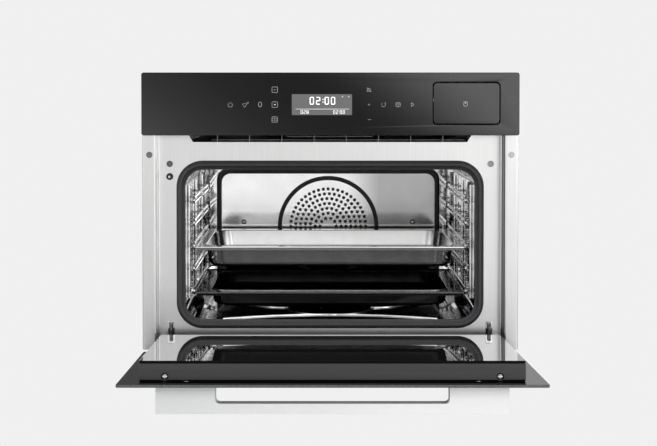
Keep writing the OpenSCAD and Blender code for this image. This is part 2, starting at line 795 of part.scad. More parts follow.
module tank_body() color("gainsboro", 0.6) {
    difference() {
        box([tank_x - tank_body_w / 2, tank_front_y, tank_low],
            [tank_x + tank_body_w / 2, tank_end, tank_low + tank_body_h - lid_t]);
        box([tank_x - tank_body_w / 2 + tank_t, tank_front_y + tank_t, tank_low + tank_t],
            [tank_x + tank_body_w / 2 - tank_t, tank_end - tank_t, tank_low + tank_body_h]);
    }
    for (s = [-1, 1]) box([tank_x + s * 35 - 3, tank_front_y + 10, tank_low - runner_h],
        [tank_x + s * 35 + 3, tank_end, tank_low]);
}

module tank_lid() color(dark_plastic) difference() {
    box([tank_x - tank_body_w / 2, tank_front_y + 16, tank_low + tank_body_h - lid_t],
        [tank_x + tank_body_w / 2, tank_end, tank_low + tank_body_h]);
    rod_z(tank_x, tank_end - 24, 8, tank_low, 80);
}

module tank_housing() color("lightgray") {
    difference() {
        box([tank_x - tank_body_w / 2 - 1.5 - housing_t, frame_y + 2, housing_low],
            [tank_x + tank_body_w / 2 + 1.5 + housing_t, tank_end + 4, tank_z + tank_h / 2]);
        box([tank_x - tank_body_w / 2 - 1.5, frame_y, tank_low - runner_h - loose],
            [tank_x + tank_body_w / 2 + 1.5, tank_end + 4 - housing_t, tank_z + tank_h / 2 - housing_t]);
    }
    // Feet on the duct
    for (x = [-30, 0], y = [60, 150]) rod_z(tank_x + x, y, 4, duct_top, housing_low - duct_top);
    // Valve and elbow to the pump
    rod_y(pump_x, pump_axis_z, 5, tank_end + 4, pump_y + 4 - tank_end);
}

// ---- Door, drawn shut and swung open ----

glass_mid = (door_top + door_low) / 2;
body_mid = (body_top + body_low) / 2;
body_h = body_top - body_low;
profile_w = 6.5;
trim_h = 11;
ear_t = 2;
ear_gap = 1.5;
handle_top = door_top - handle_drop;
handle_screw_x = handle_w / 2 - handle_end_w / 2;
handle_screw_z = handle_top - handle_h + 6;
middle_y = -4;
trim_screw_x = body_half - 35.5;
trim_screw_y = outer_rear + 6.5;
screw_r = 2.4;

module outer_glass() color(black_glass) on_door() sheet_y(outer_y, glass_t) difference() {
    translate([0, glass_mid]) rounded(front_w, door_top - door_low, glass_r);
    for (s = [-1, 1]) translate([s * handle_screw_x, handle_screw_z]) circle(screw_r + 0.4);
}

module middle_glass() color(black_glass, 0.5) on_door()
    box([-hinge_x + 10, middle_y, body_low + 8], [hinge_x - 10, middle_y + glass_t, body_top - trim_h]);

module inner_glass() color(black_glass) on_door() sheet_y(inner_front, glass_t)
    translate([0, body_mid]) rounded(door_w, body_h - 0.5, 3);

module door_side_profiles() color(dark_plastic) on_door() both_sides() difference() {
    box([body_half - profile_w, outer_rear, body_low], [body_half, inner_front, body_top - trim_h]);
    box([body_half - profile_w + 1.5, outer_rear + 1.5, body_low + 20],
        [body_half - 1.5, inner_front + 1, body_top - trim_h - 5]);
}

module door_top_trim() color(dark_plastic) on_door() difference() {
    box([-body_half, outer_rear, body_top - trim_h], [body_half, inner_front, body_top]);
    for (s = [-1, 1]) {
        rod_z(s * trim_screw_x, trim_screw_y, screw_r, body_top - trim_h + 2, trim_h);
        rod_y(s * handle_screw_x, handle_screw_z, 5.2, outer_rear - eps, 4 + eps);
    }
}

module door_bottom_profile() color(dark_plastic) on_door()
    box([-hinge_x + 10, outer_rear, body_low], [hinge_x - 10, inner_front, body_low + 8]);

// Two ears and a pin on each side, with a web that lies against the side profile
module door_hinges() color(zinc) on_door() both_sides() {
    ear_in = hinge_x - claw_t / 2 - ear_gap - ear_t;
    ear_out = hinge_x + claw_t / 2 + ear_gap;
    for (x = [ear_in, ear_out]) {
        sheet_x(x, ear_t) translate([pivot_y, pivot_z]) circle(7);
        box([x, pivot_y - 7, pivot_z], [x + ear_t, pivot_y + 7, pivot_z + 42]);
    }
    box([ear_in, pivot_y - 7, pivot_z + 12], [body_half - profile_w, pivot_y - 5, pivot_z + 42]);
    rod_x(pivot_y, pivot_z, pin_r, ear_in - 1, ear_out + ear_t + 1 - ear_in + 1);
}

module door_handle() color("whitesmoke") on_door() difference() {
    box([-handle_w / 2, outer_y - handle_reach, handle_top - handle_h], [handle_w / 2, outer_y, handle_top]);
    sheet_z(handle_top - handle_h - 1, handle_h + 2) translate([0, outer_y - (handle_reach - grip_t) / 2 + 5])
        rounded(handle_w - 2 * handle_end_w, handle_reach - grip_t + 10, 6);
    for (s = [-1, 1]) rod_y(s * handle_screw_x, handle_screw_z, screw_r + 0.1, outer_y - 20, 21);
}

module sheet_z(z, t) translate([0, 0, z]) linear_extrude(t) children();

// Pan-head screws: two in the top trim, two through the outer glass into the handle
module door_screws() color(zinc) on_door() for (s = [-1, 1]) {
    rod_z(s * trim_screw_x, trim_screw_y, 4.3, body_top, 1.6);
    rod_z(s * trim_screw_x, trim_screw_y, screw_r - 0.1, body_top - trim_h + 3, trim_h - 2);
    rod_y(s * handle_screw_x, handle_screw_z, 4.8, outer_rear, 3);
    rod_y(s * handle_screw_x, handle_screw_z, screw_r, outer_y - 18, 18 + glass_t + 1);
}

// ---- Nodes ----

front_frame();
mounting_strips();
screw_grommets();
door_bumpers();
hinge_plates();
hinge_claws();
hinge_receivers();
door_switch();
switch_plunger();
cavity_shell();
cavity_back();
door_seal();
insulation();
rack_left();
rack_right();
rack_nuts();
fan_baffle();
baffle_screws();
convection_fan();
fan_motor();
ring_heater();
evaporator_dish();
evaporator_heater();
lamp_lens();
lamp_holder();
temperature_probe();
steel_tray();
enamel_tray();
base_pan();
side_panels();
top_cover();
rear_cover();
cable_gland();
terminal_block();
air_duct();
outlet_fins();
blower_housing();
cooling_fan();
blower_motor();
power_board();
steam_pump();
water_pipe();
control_glass();
panel_carrier();
display_module();
touch_board();
tank_housing();
tank_front();
tank_body();
tank_lid();
outer_glass();
middle_glass();
inner_glass();
door_side_profiles();
door_top_trim();
door_bottom_profile();
door_hinges();
door_handle();
door_screws();
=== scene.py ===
"""Compact built-in steam oven with its door open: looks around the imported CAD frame."""

import json
import math

import bmesh
import bpy
from mathutils import Matrix, Vector


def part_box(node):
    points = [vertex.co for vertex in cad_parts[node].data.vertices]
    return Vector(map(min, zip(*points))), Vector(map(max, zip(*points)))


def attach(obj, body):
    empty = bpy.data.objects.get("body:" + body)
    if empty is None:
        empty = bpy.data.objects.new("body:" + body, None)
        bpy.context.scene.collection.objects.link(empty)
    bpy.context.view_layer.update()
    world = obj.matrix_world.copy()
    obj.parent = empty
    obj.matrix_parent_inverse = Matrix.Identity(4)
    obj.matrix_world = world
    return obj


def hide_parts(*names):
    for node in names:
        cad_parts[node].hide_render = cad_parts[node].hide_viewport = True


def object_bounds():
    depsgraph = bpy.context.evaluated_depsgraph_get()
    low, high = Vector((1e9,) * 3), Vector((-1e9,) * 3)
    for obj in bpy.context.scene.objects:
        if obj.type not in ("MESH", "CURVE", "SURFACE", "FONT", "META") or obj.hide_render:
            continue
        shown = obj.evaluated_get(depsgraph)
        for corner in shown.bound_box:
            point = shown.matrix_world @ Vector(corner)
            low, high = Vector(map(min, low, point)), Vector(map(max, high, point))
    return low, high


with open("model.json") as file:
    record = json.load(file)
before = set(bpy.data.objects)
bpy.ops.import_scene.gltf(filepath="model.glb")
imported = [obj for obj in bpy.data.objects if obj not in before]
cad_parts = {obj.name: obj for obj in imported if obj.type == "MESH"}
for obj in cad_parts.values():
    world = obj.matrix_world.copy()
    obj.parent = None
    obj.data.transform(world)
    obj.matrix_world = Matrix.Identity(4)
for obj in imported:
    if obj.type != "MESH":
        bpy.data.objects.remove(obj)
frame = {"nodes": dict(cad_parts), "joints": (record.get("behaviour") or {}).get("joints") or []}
cad_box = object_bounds()
mm = 0.001

# --------------------
# Studio. A wide pale sweep, a camera square to the oven's front and a little
# above its top, and soft boxes at both sides that leave a darker gap between.

PALE = (0.871, 0.871, 0.871, 1)
CAMERA_AT = (-0.0241, -2.2789, 0.4365)
CAMERA_TILT = math.radians(1.4117)
CAMERA_LENS = 78.71
CAMERA_SHIFT = (0.0204, -0.1573)

scene = bpy.context.scene
scene.view_settings.view_transform = "Standard"


def put(name, data):
    """A new object in the scene."""
    piece = bpy.data.objects.new(name, data)
    scene.collection.objects.link(piece)
    return piece


scene.camera = camera = put("camera", bpy.data.cameras.new("camera"))
camera.location = CAMERA_AT
camera.rotation_euler.x = math.pi / 2 - CAMERA_TILT
camera.data.lens = CAMERA_LENS
camera.data.shift_x, camera.data.shift_y = CAMERA_SHIFT


def add(tree, kind, sockets=(), **values):
    """A new node. Its sockets, by name or number, take a plain value or another node's output."""
    node = tree.nodes.new(kind)
    for key, value in values.items():
        setattr(node, key, value)
    for key, value in dict(sockets).items():
        if isinstance(value, bpy.types.NodeSocket):
            tree.links.new(value, node.inputs[key])
        else:
            node.inputs[key].default_value = value
    return node


def calc(tree, operation, a, b):
    return add(tree, "ShaderNodeMath", {0: a, 1: b}, operation=operation).outputs[0]


def ramp(tree, factor, stops):
    """A colour ramp over factor; each stop is a place and a grey level or a colour."""
    node = add(tree, "ShaderNodeValToRGB", {0: factor})
    elements = node.color_ramp.elements
    while len(elements) < len(stops):
        elements.new(0.5)
    for element, (at, colour) in zip(elements, stops):
        element.position = at
        element.color = (*colour, 1) if isinstance(colour, tuple) else (colour, colour, colour, 1)
    return node.outputs[0]


def mix(tree, share, a, b):
    return add(tree, "ShaderNodeMixShader", {0: share, 1: a, 2: b}).outputs[0]


# Brightness that a mirrored ray meets, by bearing: 0.5 is the user's side, 0.25 the left, 0.75 the right
ROOM = [(0.0, 0.10), (0.20, 0.40), (0.27, 0.12), (0.33, 1.2), (0.40, 1.2), (0.43, 0.55), (0.455, 0.92),
        (0.475, 1.05), (0.504, 1.10), (0.509, 0.72), (0.519, 0.90), (0.535, 2.1), (0.57, 0.80), (0.61, 1.7),
        (0.68, 1.4), (0.73, 0.12), (0.80, 0.70), (1.0, 0.55)]
# The same close to the horizon, which is all that the upright black glass shows
HORIZON = [(0.470, 1.75), (0.474, 1.41), (0.478, 1.05), (0.481, 0.79), (0.4845, 0.66), (0.488, 0.49),
           (0.491, 0.40), (0.4945, 0.33), (0.4995, 0.31), (0.503, 0.40), (0.506, 0.72), (0.5095, 1.42),
           (0.513, 2.25), (0.516, 2.75), (0.521, 2.85), (0.56, 2.6)]
HORIZON_LEAN = 0.225
# How high a ray points, from straight down to straight up: brightness, and share of the horizon's pattern
HEIGHT = [(0.0, 0.20), (0.30, 0.04), (0.34, 0.07), (0.37, 0.14), (0.405, 0.85), (0.437, 0.95), (0.446, 0.30),
          (0.4525, 0.30), (0.4568, 1.0), (0.59, 1.0), (0.64, 0.40), (0.75, 0.20), (1.0, 0.50)]
HORIZON_SHARE = [(0.4765, 0.0), (0.480, 1.0), (0.5075, 1.0), (0.515, 0.0)]
BRIGHTEST = 4
AMBIENT = 0.55


def emptied(owner):
    """The node tree of a world or a material, with nothing in it, and its rays."""
    owner.use_nodes = True
    owner.node_tree.nodes.clear()
    rays = add(owner.node_tree, "ShaderNodeLightPath").outputs
    straight = calc(owner.node_tree, "MAXIMUM", rays["Is Camera Ray"], rays["Is Transmission Ray"])
    return owner.node_tree, rays["Is Glossy Ray"], straight


scene.world = bpy.data.worlds.new("studio")
tree, glossy, straight = emptied(scene.world)
ray = add(tree, "ShaderNodeSeparateXYZ", {0: add(tree, "ShaderNodeTexCoord").outputs["Generated"]}).outputs
bearing = calc(tree, "ARCTAN2", ray["X"], calc(tree, "MULTIPLY", ray["Y"], -1.0))
bearing = calc(tree, "ADD", calc(tree, "DIVIDE", bearing, 2 * math.pi), 0.5)
leaned = calc(tree, "ADD", bearing, calc(tree, "MULTIPLY", ray["Z"], HORIZON_LEAN))
height = calc(tree, "ADD", calc(tree, "MULTIPLY", ray["Z"], 0.5), 0.5)
room = ramp(tree, bearing, [(at, level / BRIGHTEST) for at, level in ROOM])
room = calc(tree, "MULTIPLY", room, ramp(tree, height, HEIGHT))
near = ramp(tree, leaned, [(at, level / BRIGHTEST) for at, level in HORIZON])
share = ramp(tree, height, HORIZON_SHARE)
wall = calc(tree, "ADD", calc(tree, "MULTIPLY", near, share),
            calc(tree, "MULTIPLY", room, calc(tree, "SUBTRACT", 1.0, share)))
seen = add(tree, "ShaderNodeBackground", {"Color": PALE}).outputs[0]
mirrored = add(tree, "ShaderNodeBackground", {"Color": wall, "Strength": BRIGHTEST}).outputs[0]
lit = add(tree, "ShaderNodeBackground", {"Strength": AMBIENT}).outputs[0]
add(tree, "ShaderNodeOutputWorld", {0: mix(tree, straight, mix(tree, glossy, lit, mirrored), seen)})

# Soft boxes: place, aim, size and power
for name, at, aim, size, power in (("box_left", (-2.4, -2.2, 1.4), (0, 0.1, 0.15), (1.2, 1.8), 40),
                                   ("box_right", (2.3, -2.4, 1.2), (0, 0.1, 0.15), (1.4, 1.8), 58),
                                   ("box_top", (0, -0.9, 2.9), (0, 0.1, 0.1), (2.4, 1.4), 45)):
    lamp = put(name, bpy.data.lights.new(name, "AREA"))
    lamp.data.shape = "RECTANGLE"
    lamp.data.size, lamp.data.size_y = size
    lamp.data.energy = power
    lamp.location = at
    lamp.rotation_euler = (Vector(aim) - Vector(at)).to_track_quat("-Z", "Y").to_euler()
    lamp.visible_glossy = False

# The floor shows exactly as pale as the backdrop, throws soft light upwards and is left out of mirror images
FLOOR_DROP = 0.5
FLOOR_REACH = 30
floor = put("floor", bpy.data.meshes.new("floor"))
corners = [(x * FLOOR_REACH, y * FLOOR_REACH, 0) for x, y in ((-1, -1), (1, -1), (1, 1), (-1, 1))]
floor.data.from_pydata(corners, [], [(0, 1, 2, 3)])
floor.location.z = cad_box[0].z - FLOOR_DROP
floor.data.materials.append(bpy.data.materials.new("floor_paint"))
tree, glossy, straight = emptied(floor.data.materials[0])
matt = add(tree, "ShaderNodeBsdfDiffuse", {"Color": PALE}).outputs[0]
glow = add(tree, "ShaderNodeEmission", {"Color": PALE}).outputs[0]
clear = add(tree, "ShaderNodeBsdfTransparent").outputs[0]
add(tree, "ShaderNodeOutputMaterial", {0: mix(tree, glossy, mix(tree, straight, matt, glow), clear)})

# --------------------
# Front frame. Brushed stainless sheet folded once forward into a flange at
# each side, pierced for the cavity, the air outlet, the hinges and the tank.

SIDES = (-1, 1)


def arc(cx, cy, r, start, end, steps=6):
    """Points on an arc, angles in degrees."""
    turns = [math.radians(start + (end - start) * i / steps) for i in range(steps + 1)]
    return [(cx + r * math.cos(a), cy + r * math.sin(a)) for a in turns]


def loop_circle(r, x=0.0, y=0.0, steps=32):
    return arc(x, y, r, 0, 360, steps)[:-1]


def loop_rect(w, h, r, x=0.0, y=0.0, steps=8):
    """Points round a rectangle with rounded corners."""
    w, h = w / 2 - r, h / 2 - r
    return [p for u, v, a in ((1, -1, -90), (1, 1, 0), (-1, 1, 90), (-1, -1, 180))
            for p in arc(x + u * w, y + v * h, r, a, a + 90, steps)]


def loop_round(box, r, grow=0.0, steps=8, plane="xz"):
    """A rounded rectangle round a box, given by its two corners, grown at each side."""
    (a, b), (c, d) = [[getattr(corner, k) for corner in box] for k in plane]
    return loop_rect(b - a + 2 * grow, d - c + 2 * grow, r, (a + b) / 2, (c + d) / 2, steps)


def middle_of(node):
    low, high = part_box(node)
    return (low + high) / 2


def to_mesh(source, name):
    """A plain mesh object made from an object with its modifiers or curve settings applied."""
    graph = bpy.context.evaluated_depsgraph_get()
    mesh = bpy.data.meshes.new_from_object(source.evaluated_get(graph), depsgraph=graph)
    drop(source)
    mesh.name = name
    return put(name, mesh)


def drop(piece):
    data = piece.data
    bpy.data.objects.remove(piece)
    if data.users == 0:
        (bpy.data.curves if isinstance(data, bpy.types.Curve) else bpy.data.meshes).remove(data)


def from_shape(name, shape):
    mesh = bpy.data.meshes.new(name)
    shape.to_mesh(mesh)
    shape.free()
    return put(name, mesh)


# How a flat drawing is turned to face an axis
FACING = {
    "x": Matrix(((0, 0, 1), (1, 0, 0), (0, 1, 0))).to_4x4(),
    "y": Matrix(((1, 0, 0), (0, 0, -1), (0, 1, 0))).to_4x4(),
    "z": Matrix.Identity(4),
}


def stand(piece, facing, level):
    """Turns a flat drawing to face an axis and moves it along that axis."""
    along = Vector([level * (axis == facing) for axis in "xyz"])
    piece.data.transform(Matrix.Translation(along) @ FACING[facing])
    return piece


def plate(loops, low, high, facing="y", edge=0.3 * mm):
    """A flat sheet between low and high along one axis; the first loop is its edge, the rest are holes."""
    curve = bpy.data.curves.new("plate", "CURVE")
    curve.dimensions = "2D"
    curve.fill_mode = "BOTH"
    edge = min(edge, (high - low) * 0.45)
    curve.extrude = (high - low) / 2 - edge
    curve.bevel_depth = edge
    curve.bevel_resolution = 1
    curve.offset = -edge
    for points in loops:
        draw(curve, [(*p, 0) for p in points]).use_cyclic_u = True
    return stand(to_mesh(put("plate", curve), "plate"), facing, (low + high) / 2)


def draw(curve, points):
    spline = curve.splines.new("POLY")
    spline.points.add(len(points) - 1)
    spline.points.foreach_set("co", [v for p in points for v in (*p, 1)])
    return spline


def joined(name, pieces):
    """One object from several, all of which sit at the origin."""
    shape = bmesh.new()
    for piece in pieces:
        shape.from_mesh(piece.data)
        drop(piece)
    return from_shape(name, shape)


MERGE = 0.01 * mm


def tidy(piece, angle=35.0):
    """Merges doubles, turns faces outwards and shades smooth up to an angle; flat faces stay flat."""
    shape = bmesh.new()
    shape.from_mesh(piece.data)
    bmesh.ops.remove_doubles(shape, verts=shape.verts, dist=MERGE)
    bmesh.ops.dissolve_degenerate(shape, edges=shape.edges, dist=MERGE / 10)
    bmesh.ops.recalc_face_normals(shape, faces=shape.faces)
    shape.to_mesh(piece.data)
    shape.free()
    piece.data.shade_smooth()
    piece.data.set_sharp_from_angle(angle=math.radians(angle))
    piece.modifiers.new("weighed", "WEIGHTED_NORMAL").keep_sharp = True
    return to_mesh(piece, piece.name)


def fit_out(piece, paint, body, slot, *nodes):
    """Gives a finished piece its material and body, and hides the CAD nodes it stands for. The slot is not
    used.
    """
    piece.data.materials.clear()
    piece.data.materials.append(paint)
    if nodes:
        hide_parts(*nodes)
    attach(piece, body)
    return piece


def assemble(name, pieces, paint, slot, *nodes, body="oven_body", angle=35.0):
    return fit_out(tidy(joined(name, pieces), angle), paint, body, slot, *nodes)


def grain(paint, stretch, detail=3.0, roughness=0.55):
    """Noise over the piece's own coordinates; stretch is how many features fit in a metre, each way."""
    tree = paint.node_tree
    scale = stretch if isinstance(stretch, tuple) else (stretch,) * 3
    own = add(tree, "ShaderNodeMapping", {0: add(tree, "ShaderNodeTexCoord").outputs["Object"],
                                          "Scale": scale})
    return add(tree, "ShaderNodeTexNoise", {"Vector": own.outputs[0], "Scale": 1, "Detail": detail,
                                            "Roughness": roughness}).outputs["Fac"]


def place(paint):
    """Where a point of the piece lies: outputs X, Y and Z."""
    tree = paint.node_tree
    return add(tree, "ShaderNodeSeparateXYZ", {0: add(tree, "ShaderNodeTexCoord").outputs["Object"]}).outputs


def lay(paint, socket, source):
    """Links a node's output to a socket of the material's Principled shader."""
    paint.node_tree.links.new(source, paint.node_tree.nodes["Principled BSDF"].inputs[socket])


def vary_rough(paint, factor, low, high):
    spread = add(paint.node_tree, "ShaderNodeMapRange", {"Value": factor, "From Min": 0.3, "From Max": 0.7,
                                                         "To Min": low, "To Max": high})
    lay(paint, "Roughness", spread.outputs[0])


def vary_colour(paint, factor, dark, light):
    lay(paint, "Base Color", ramp(paint.node_tree, factor, [(0.3, dark), (0.7, light)]))


def emboss(paint, factor, height, strength=1.0):
    """Bump from factor, with the given height in metres."""
    bump = add(paint.node_tree, "ShaderNodeBump", {"Height": factor, "Strength": strength,
                                                   "Distance": height})
    lay(paint, "Normal", bump.outputs[0])


def shader(name, colour, rough, metal=0.0, bump=None, **sockets):
    """A Principled material. A list is a grain and the two values that it runs between, or for bump
    its height and strength."""
    paint = bpy.data.materials.new(name)
    paint.use_nodes = True
    body = paint.node_tree.nodes["Principled BSDF"]
    body.inputs["Metallic"].default_value = metal
    for key, value in sockets.items():
        body.inputs[key.replace("_", " ")].default_value = value
    if isinstance(colour, list):
        vary_colour(paint, grain(paint, colour[0]), *colour[1:])
    else:
        body.inputs["Base Color"].default_value = (*colour, 1)
    if isinstance(rough, list):
        vary_rough(paint, grain(paint, rough[0]), *rough[1:])
    else:
        body.inputs["Roughness"].default_value = rough
    if bump:
        emboss(paint, grain(paint, bump[0]), *bump[1:])
    return paint


BRUSHED = (1400, 1400, 9)
brushed_steel = shader("brushed_steel", [(900, 900, 5), (0.84, 0.84, 0.835), (0.90, 0.90, 0.895)],
                       [BRUSHED, 0.28, 0.36], 1.0, [BRUSHED, 0.02 * mm, 0.15])
# Painted reflection: the left-facing step of the right-hand fold is painted near black, for the dark gap
# between the soft boxes that it mirrors
STEP_X = 270 * mm
tree = brushed_steel.node_tree
facing = add(tree, "ShaderNodeSeparateXYZ", {0: add(tree, "ShaderNodeNewGeometry").outputs["Normal"]})
to_left = ramp(tree, calc(tree, "ADD", facing.outputs["X"], 1.0), [(0.04, 1.0), (0.5, 0.0)])
on_fold = calc(tree, "GREATER_THAN", place(brushed_steel)["X"], STEP_X)
plain = tree.nodes["Principled BSDF"].inputs["Base Color"].links[0].from_socket
darker = add(tree, "ShaderNodeMix", {0: calc(tree, "MULTIPLY", to_left, on_fold), 6: plain,
                                     7: (0.01, 0.01, 0.01, 1)}, data_type="RGBA")
lay(brushed_steel, "Base Color", darker.outputs[2])

FRAME_LOW, FRAME_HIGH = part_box("front_frame")
SHEET = 1.2 * mm
FLANGE_W = 21 * mm
BEND = 3.2 * mm
flange_x = FRAME_HIGH.x - FLANGE_W
panel_rear = FRAME_HIGH.y
panel_front = panel_rear - SHEET
flange_front = FRAME_LOW.y

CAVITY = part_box("cavity_shell")
CAVITY_WALL = 1 * mm
MOUTH_R = 28 * mm
cavity_half = CAVITY[1].x - CAVITY_WALL
cavity_floor = CAVITY[0].z + CAVITY_WALL

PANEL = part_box("control_glass")
panel_foot = PANEL[0].z
SLOT_LOW_HALF = 219.5 * mm
SLOT_TOP_HALF = 229 * mm
SLOT_RISE = 4 * mm
slot_low = panel_foot - 12 * mm
HOOK_Z = 45 * mm
hinge_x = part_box("hinge_claws")[1].x - 2 * mm
SWITCH_PORT_R = 5.5 * mm
switch_at = middle_of("switch_plunger")
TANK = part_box("tank_front")
TANK_PORT = 3 * mm


def folded_side(s):
    """Plan of the fold at one side, from the recessed middle out to the flange's return."""
    inner = BEND - SHEET
    start = flange_x - BEND - 2 * mm
    bend_x, edge_x = flange_x - SHEET + BEND, FRAME_HIGH.x - BEND
    bend_y = flange_front + BEND
    plan = [(start, panel_front)]
    plan += arc(flange_x - BEND, panel_front - inner, inner, 90, 0)
    plan += arc(bend_x, bend_y, BEND, 180, 270)
    plan += arc(edge_x, bend_y, BEND, 270, 360)
    plan += [(FRAME_HIGH.x, 0), (FRAME_HIGH.x - SHEET, 0)]
    plan += arc(edge_x, bend_y, inner, 360, 270)
    plan += arc(bend_x, bend_y, inner, 270, 180)
    plan += arc(flange_x - BEND, panel_rear - BEND, BEND, 0, 90)
    plan += [(start, panel_rear)]
    return [(s * x, y) for x, y in plan[::s]]


slot_loop = [(s * half, z) for half, z, s in (
    (SLOT_LOW_HALF, slot_low, -1), (SLOT_LOW_HALF, slot_low, 1),
    (SLOT_TOP_HALF, panel_foot + SLOT_RISE, 1), (SLOT_TOP_HALF, panel_foot + SLOT_RISE, -1))]
middle_half = flange_x - BEND - 1.9 * mm
sheet = loop_rect(2 * middle_half, FRAME_HIGH.z - FRAME_LOW.z, 0.5 * mm, 0, middle_of("front_frame").z, 2)
holes = [loop_round(CAVITY, MOUTH_R, -CAVITY_WALL, 12), slot_loop, loop_round(TANK, 3 * mm, TANK_PORT, 3),
         loop_circle(SWITCH_PORT_R, switch_at.x, switch_at.z)]
holes += [loop_rect(6 * mm, 16 * mm, 1 * mm, s * hinge_x, HOOK_Z - 1 * mm, 3) for s in SIDES]
folds = [plate([folded_side(s)], FRAME_LOW.z, FRAME_HIGH.z, "z", 0.1 * mm) for s in SIDES]
assemble("front_frame_sheet", [plate([sheet] + holes, panel_front, panel_rear, edge=0.15 * mm)] + folds,
         brushed_steel, "steel_brushed", "front_frame", angle=30)

# --------------------
# Screw seats and bumpers. Grey rubber discs: the seats sit in the flanges round
# the cabinet screws, the bumpers soften the door's last few millimetres.


def skin(name, rings, around=False, capped=True):
    """A closed skin through rings of points, round to the first ring again or with a cap at each end."""
    shape = bmesh.new()
    made = [[shape.verts.new(p) for p in ring] for ring in rings]
    for low, high in zip(made, made[1:] + made[:1] * around):
        count = max(len(low), len(high))
        for i in range(count):
            j = (i + 1) % count
            corners = [low[i % len(low)], low[j % len(low)], high[j % len(high)], high[i % len(high)]]
            face = [v for k, v in enumerate(corners) if v not in corners[:k]]
            if len(face) > 2:
                shape.faces.new(face)
    if capped:
        shape.faces.new(made[0])
        shape.faces.new(made[-1])
    bmesh.ops.recalc_face_normals(shape, faces=shape.faces)
    return from_shape(name, shape)


def lathe(profile, axis="y", at=(0, 0, 0), steps=48, unit=mm):
    """A turned piece: profile is a list of (radius, distance along the axis), both in the given unit."""
    rings = [[(x, y, h * unit) for x, y in loop_circle(r * unit, steps=steps if r > 0 else 1)]
             for r, h in profile]
    piece = skin("turned", rings, capped=False)
    piece.data.transform(Matrix.Translation(at) @ FACING[axis])
    return piece


def rod(r, low, high, axis, at, steps=48):
    """A closed round bar; at gives its two other coordinates, in x, y, z order."""
    centre = {"x": (0, at[0], at[1]), "y": (at[0], 0, at[1]), "z": (at[0], at[1], 0)}[axis]
    low, high = (-low, -high) if axis == "y" else (low, high)
    return lathe([(0, low), (r, low), (r, high), (0, high)], axis, centre, steps, unit=1)


grey_rubber = shader("grey_rubber", (0.16, 0.16, 0.165), 0.6, 0.0, [3000, 0.03 * mm, 0.4])
# Painted light: the rubber is painted dark at the left and light at the right, as the light falls on the two
# sides
vary_colour(grey_rubber, calc(grey_rubber.node_tree, "ADD", place(grey_rubber)["X"], 0.5),
            (0.14, 0.14, 0.145), (0.46, 0.46, 0.465))

SEAT_R = 5
SCREW_BORE_R = 2.75
WEB_T = 0.4 * mm
seat_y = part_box("screw_grommets")[1].y
seat_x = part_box("screw_grommets")[1].x - SEAT_R * mm
seat_z = middle_of("screw_grommets").z
web_y = seat_y - 1.4 * mm
seat_profile = [(SCREW_BORE_R, -1.2), (SCREW_BORE_R, 1.2), (3.4, 2.0), (4.4, 2.0), (SEAT_R, 1.4),
                (SEAT_R, -1.2), (SCREW_BORE_R, -1.2)]
seats = [lathe(seat_profile, "y", (s * seat_x, seat_y, seat_z)) for s in SIDES]
seats += [rod(SCREW_BORE_R * mm, web_y - WEB_T, web_y, "y", (s * seat_x, seat_z), 32) for s in SIDES]
assemble("flange_screw_seats", seats, grey_rubber, "grey_rubber", "screw_grommets")

bumper_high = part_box("door_bumpers")[1]
bumper_z = middle_of("door_bumpers").z
bumper_x = bumper_high.x - SEAT_R * mm
bumper_profile = [(0, 0), (SEAT_R, 0), (SEAT_R, 1.2), (4.3, 1.9), (0, 2)]
bumpers = [lathe(bumper_profile, "y", (s * bumper_x, bumper_high.y, bumper_z)) for s in SIDES]
assemble("front_bumpers", bumpers, grey_rubber, "grey_rubber", "door_bumpers")

# --------------------
# Casing. Galvanised sheet panels round the back of the oven, with pressed
# stiffening ribs, screwed together along their edges; spacers behind the flanges.

zinc_sheet = shader("zinc_sheet", (0.60, 0.61, 0.62), 0.42, 1.0)
tree = zinc_sheet.node_tree
spangle = add(tree, "ShaderNodeTexVoronoi", {"Vector": add(tree, "ShaderNodeTexCoord").outputs["Object"],
                                             "Scale": 150}, feature="SMOOTH_F1")
spangle.inputs["Smoothness"].default_value = 0.3
vary_rough(zinc_sheet, spangle.outputs["Distance"], 0.36, 0.52)
vary_colour(zinc_sheet, spangle.outputs["Color"], (0.62, 0.63, 0.64), (0.72, 0.73, 0.74))


def dress(paint, *nodes):
    """Puts a material on CAD pieces whose own shape is shown."""
    for name in nodes:
        data = frame["nodes"][name].data
        data.materials.clear()
        data.materials.append(paint)


dress(zinc_sheet, "base_pan", "side_panels", "top_cover", "rear_cover",
      "mounting_strips", "air_duct", "blower_housing", "cooling_fan")


def repeat_row(piece, count, step, paint):
    """Copies a piece along a line by Geometry Nodes, count copies, step apart, and keeps the plain mesh."""
    tree = bpy.data.node_groups.new("row", "GeometryNodeTree")
    sockets = {}
    new_socket = tree.interface.new_socket
    for name, kind in ("Geometry", "Geometry"), ("Count", "Int"), ("Step", "Vector"), ("Finish", "Material"):
        sockets[name] = new_socket(name, in_out="INPUT", socket_type="NodeSocket" + kind).identifier
    new_socket("Geometry", in_out="OUTPUT", socket_type="NodeSocketGeometry")
    given = add(tree, "NodeGroupInput").outputs
    line = add(tree, "GeometryNodeMeshLine", {"Count": given["Count"], "Offset": given["Step"]})
    copies = add(tree, "GeometryNodeInstanceOnPoints", {"Points": line.outputs[0],
                                                        "Instance": given["Geometry"]})
    real = add(tree, "GeometryNodeRealizeInstances", {0: copies.outputs[0]})
    painted = add(tree, "GeometryNodeSetMaterial", {"Geometry": real.outputs[0],
                                                    "Material": given["Finish"]})
    add(tree, "NodeGroupOutput", {0: painted.outputs[0]})
    modifier = piece.modifiers.new("copies", "NODES")
    modifier.node_group = tree
    for name, value in (("Count", count), ("Step", step), ("Finish", paint)):
        modifier[sockets[name]] = value
    return to_mesh(piece, piece.name)


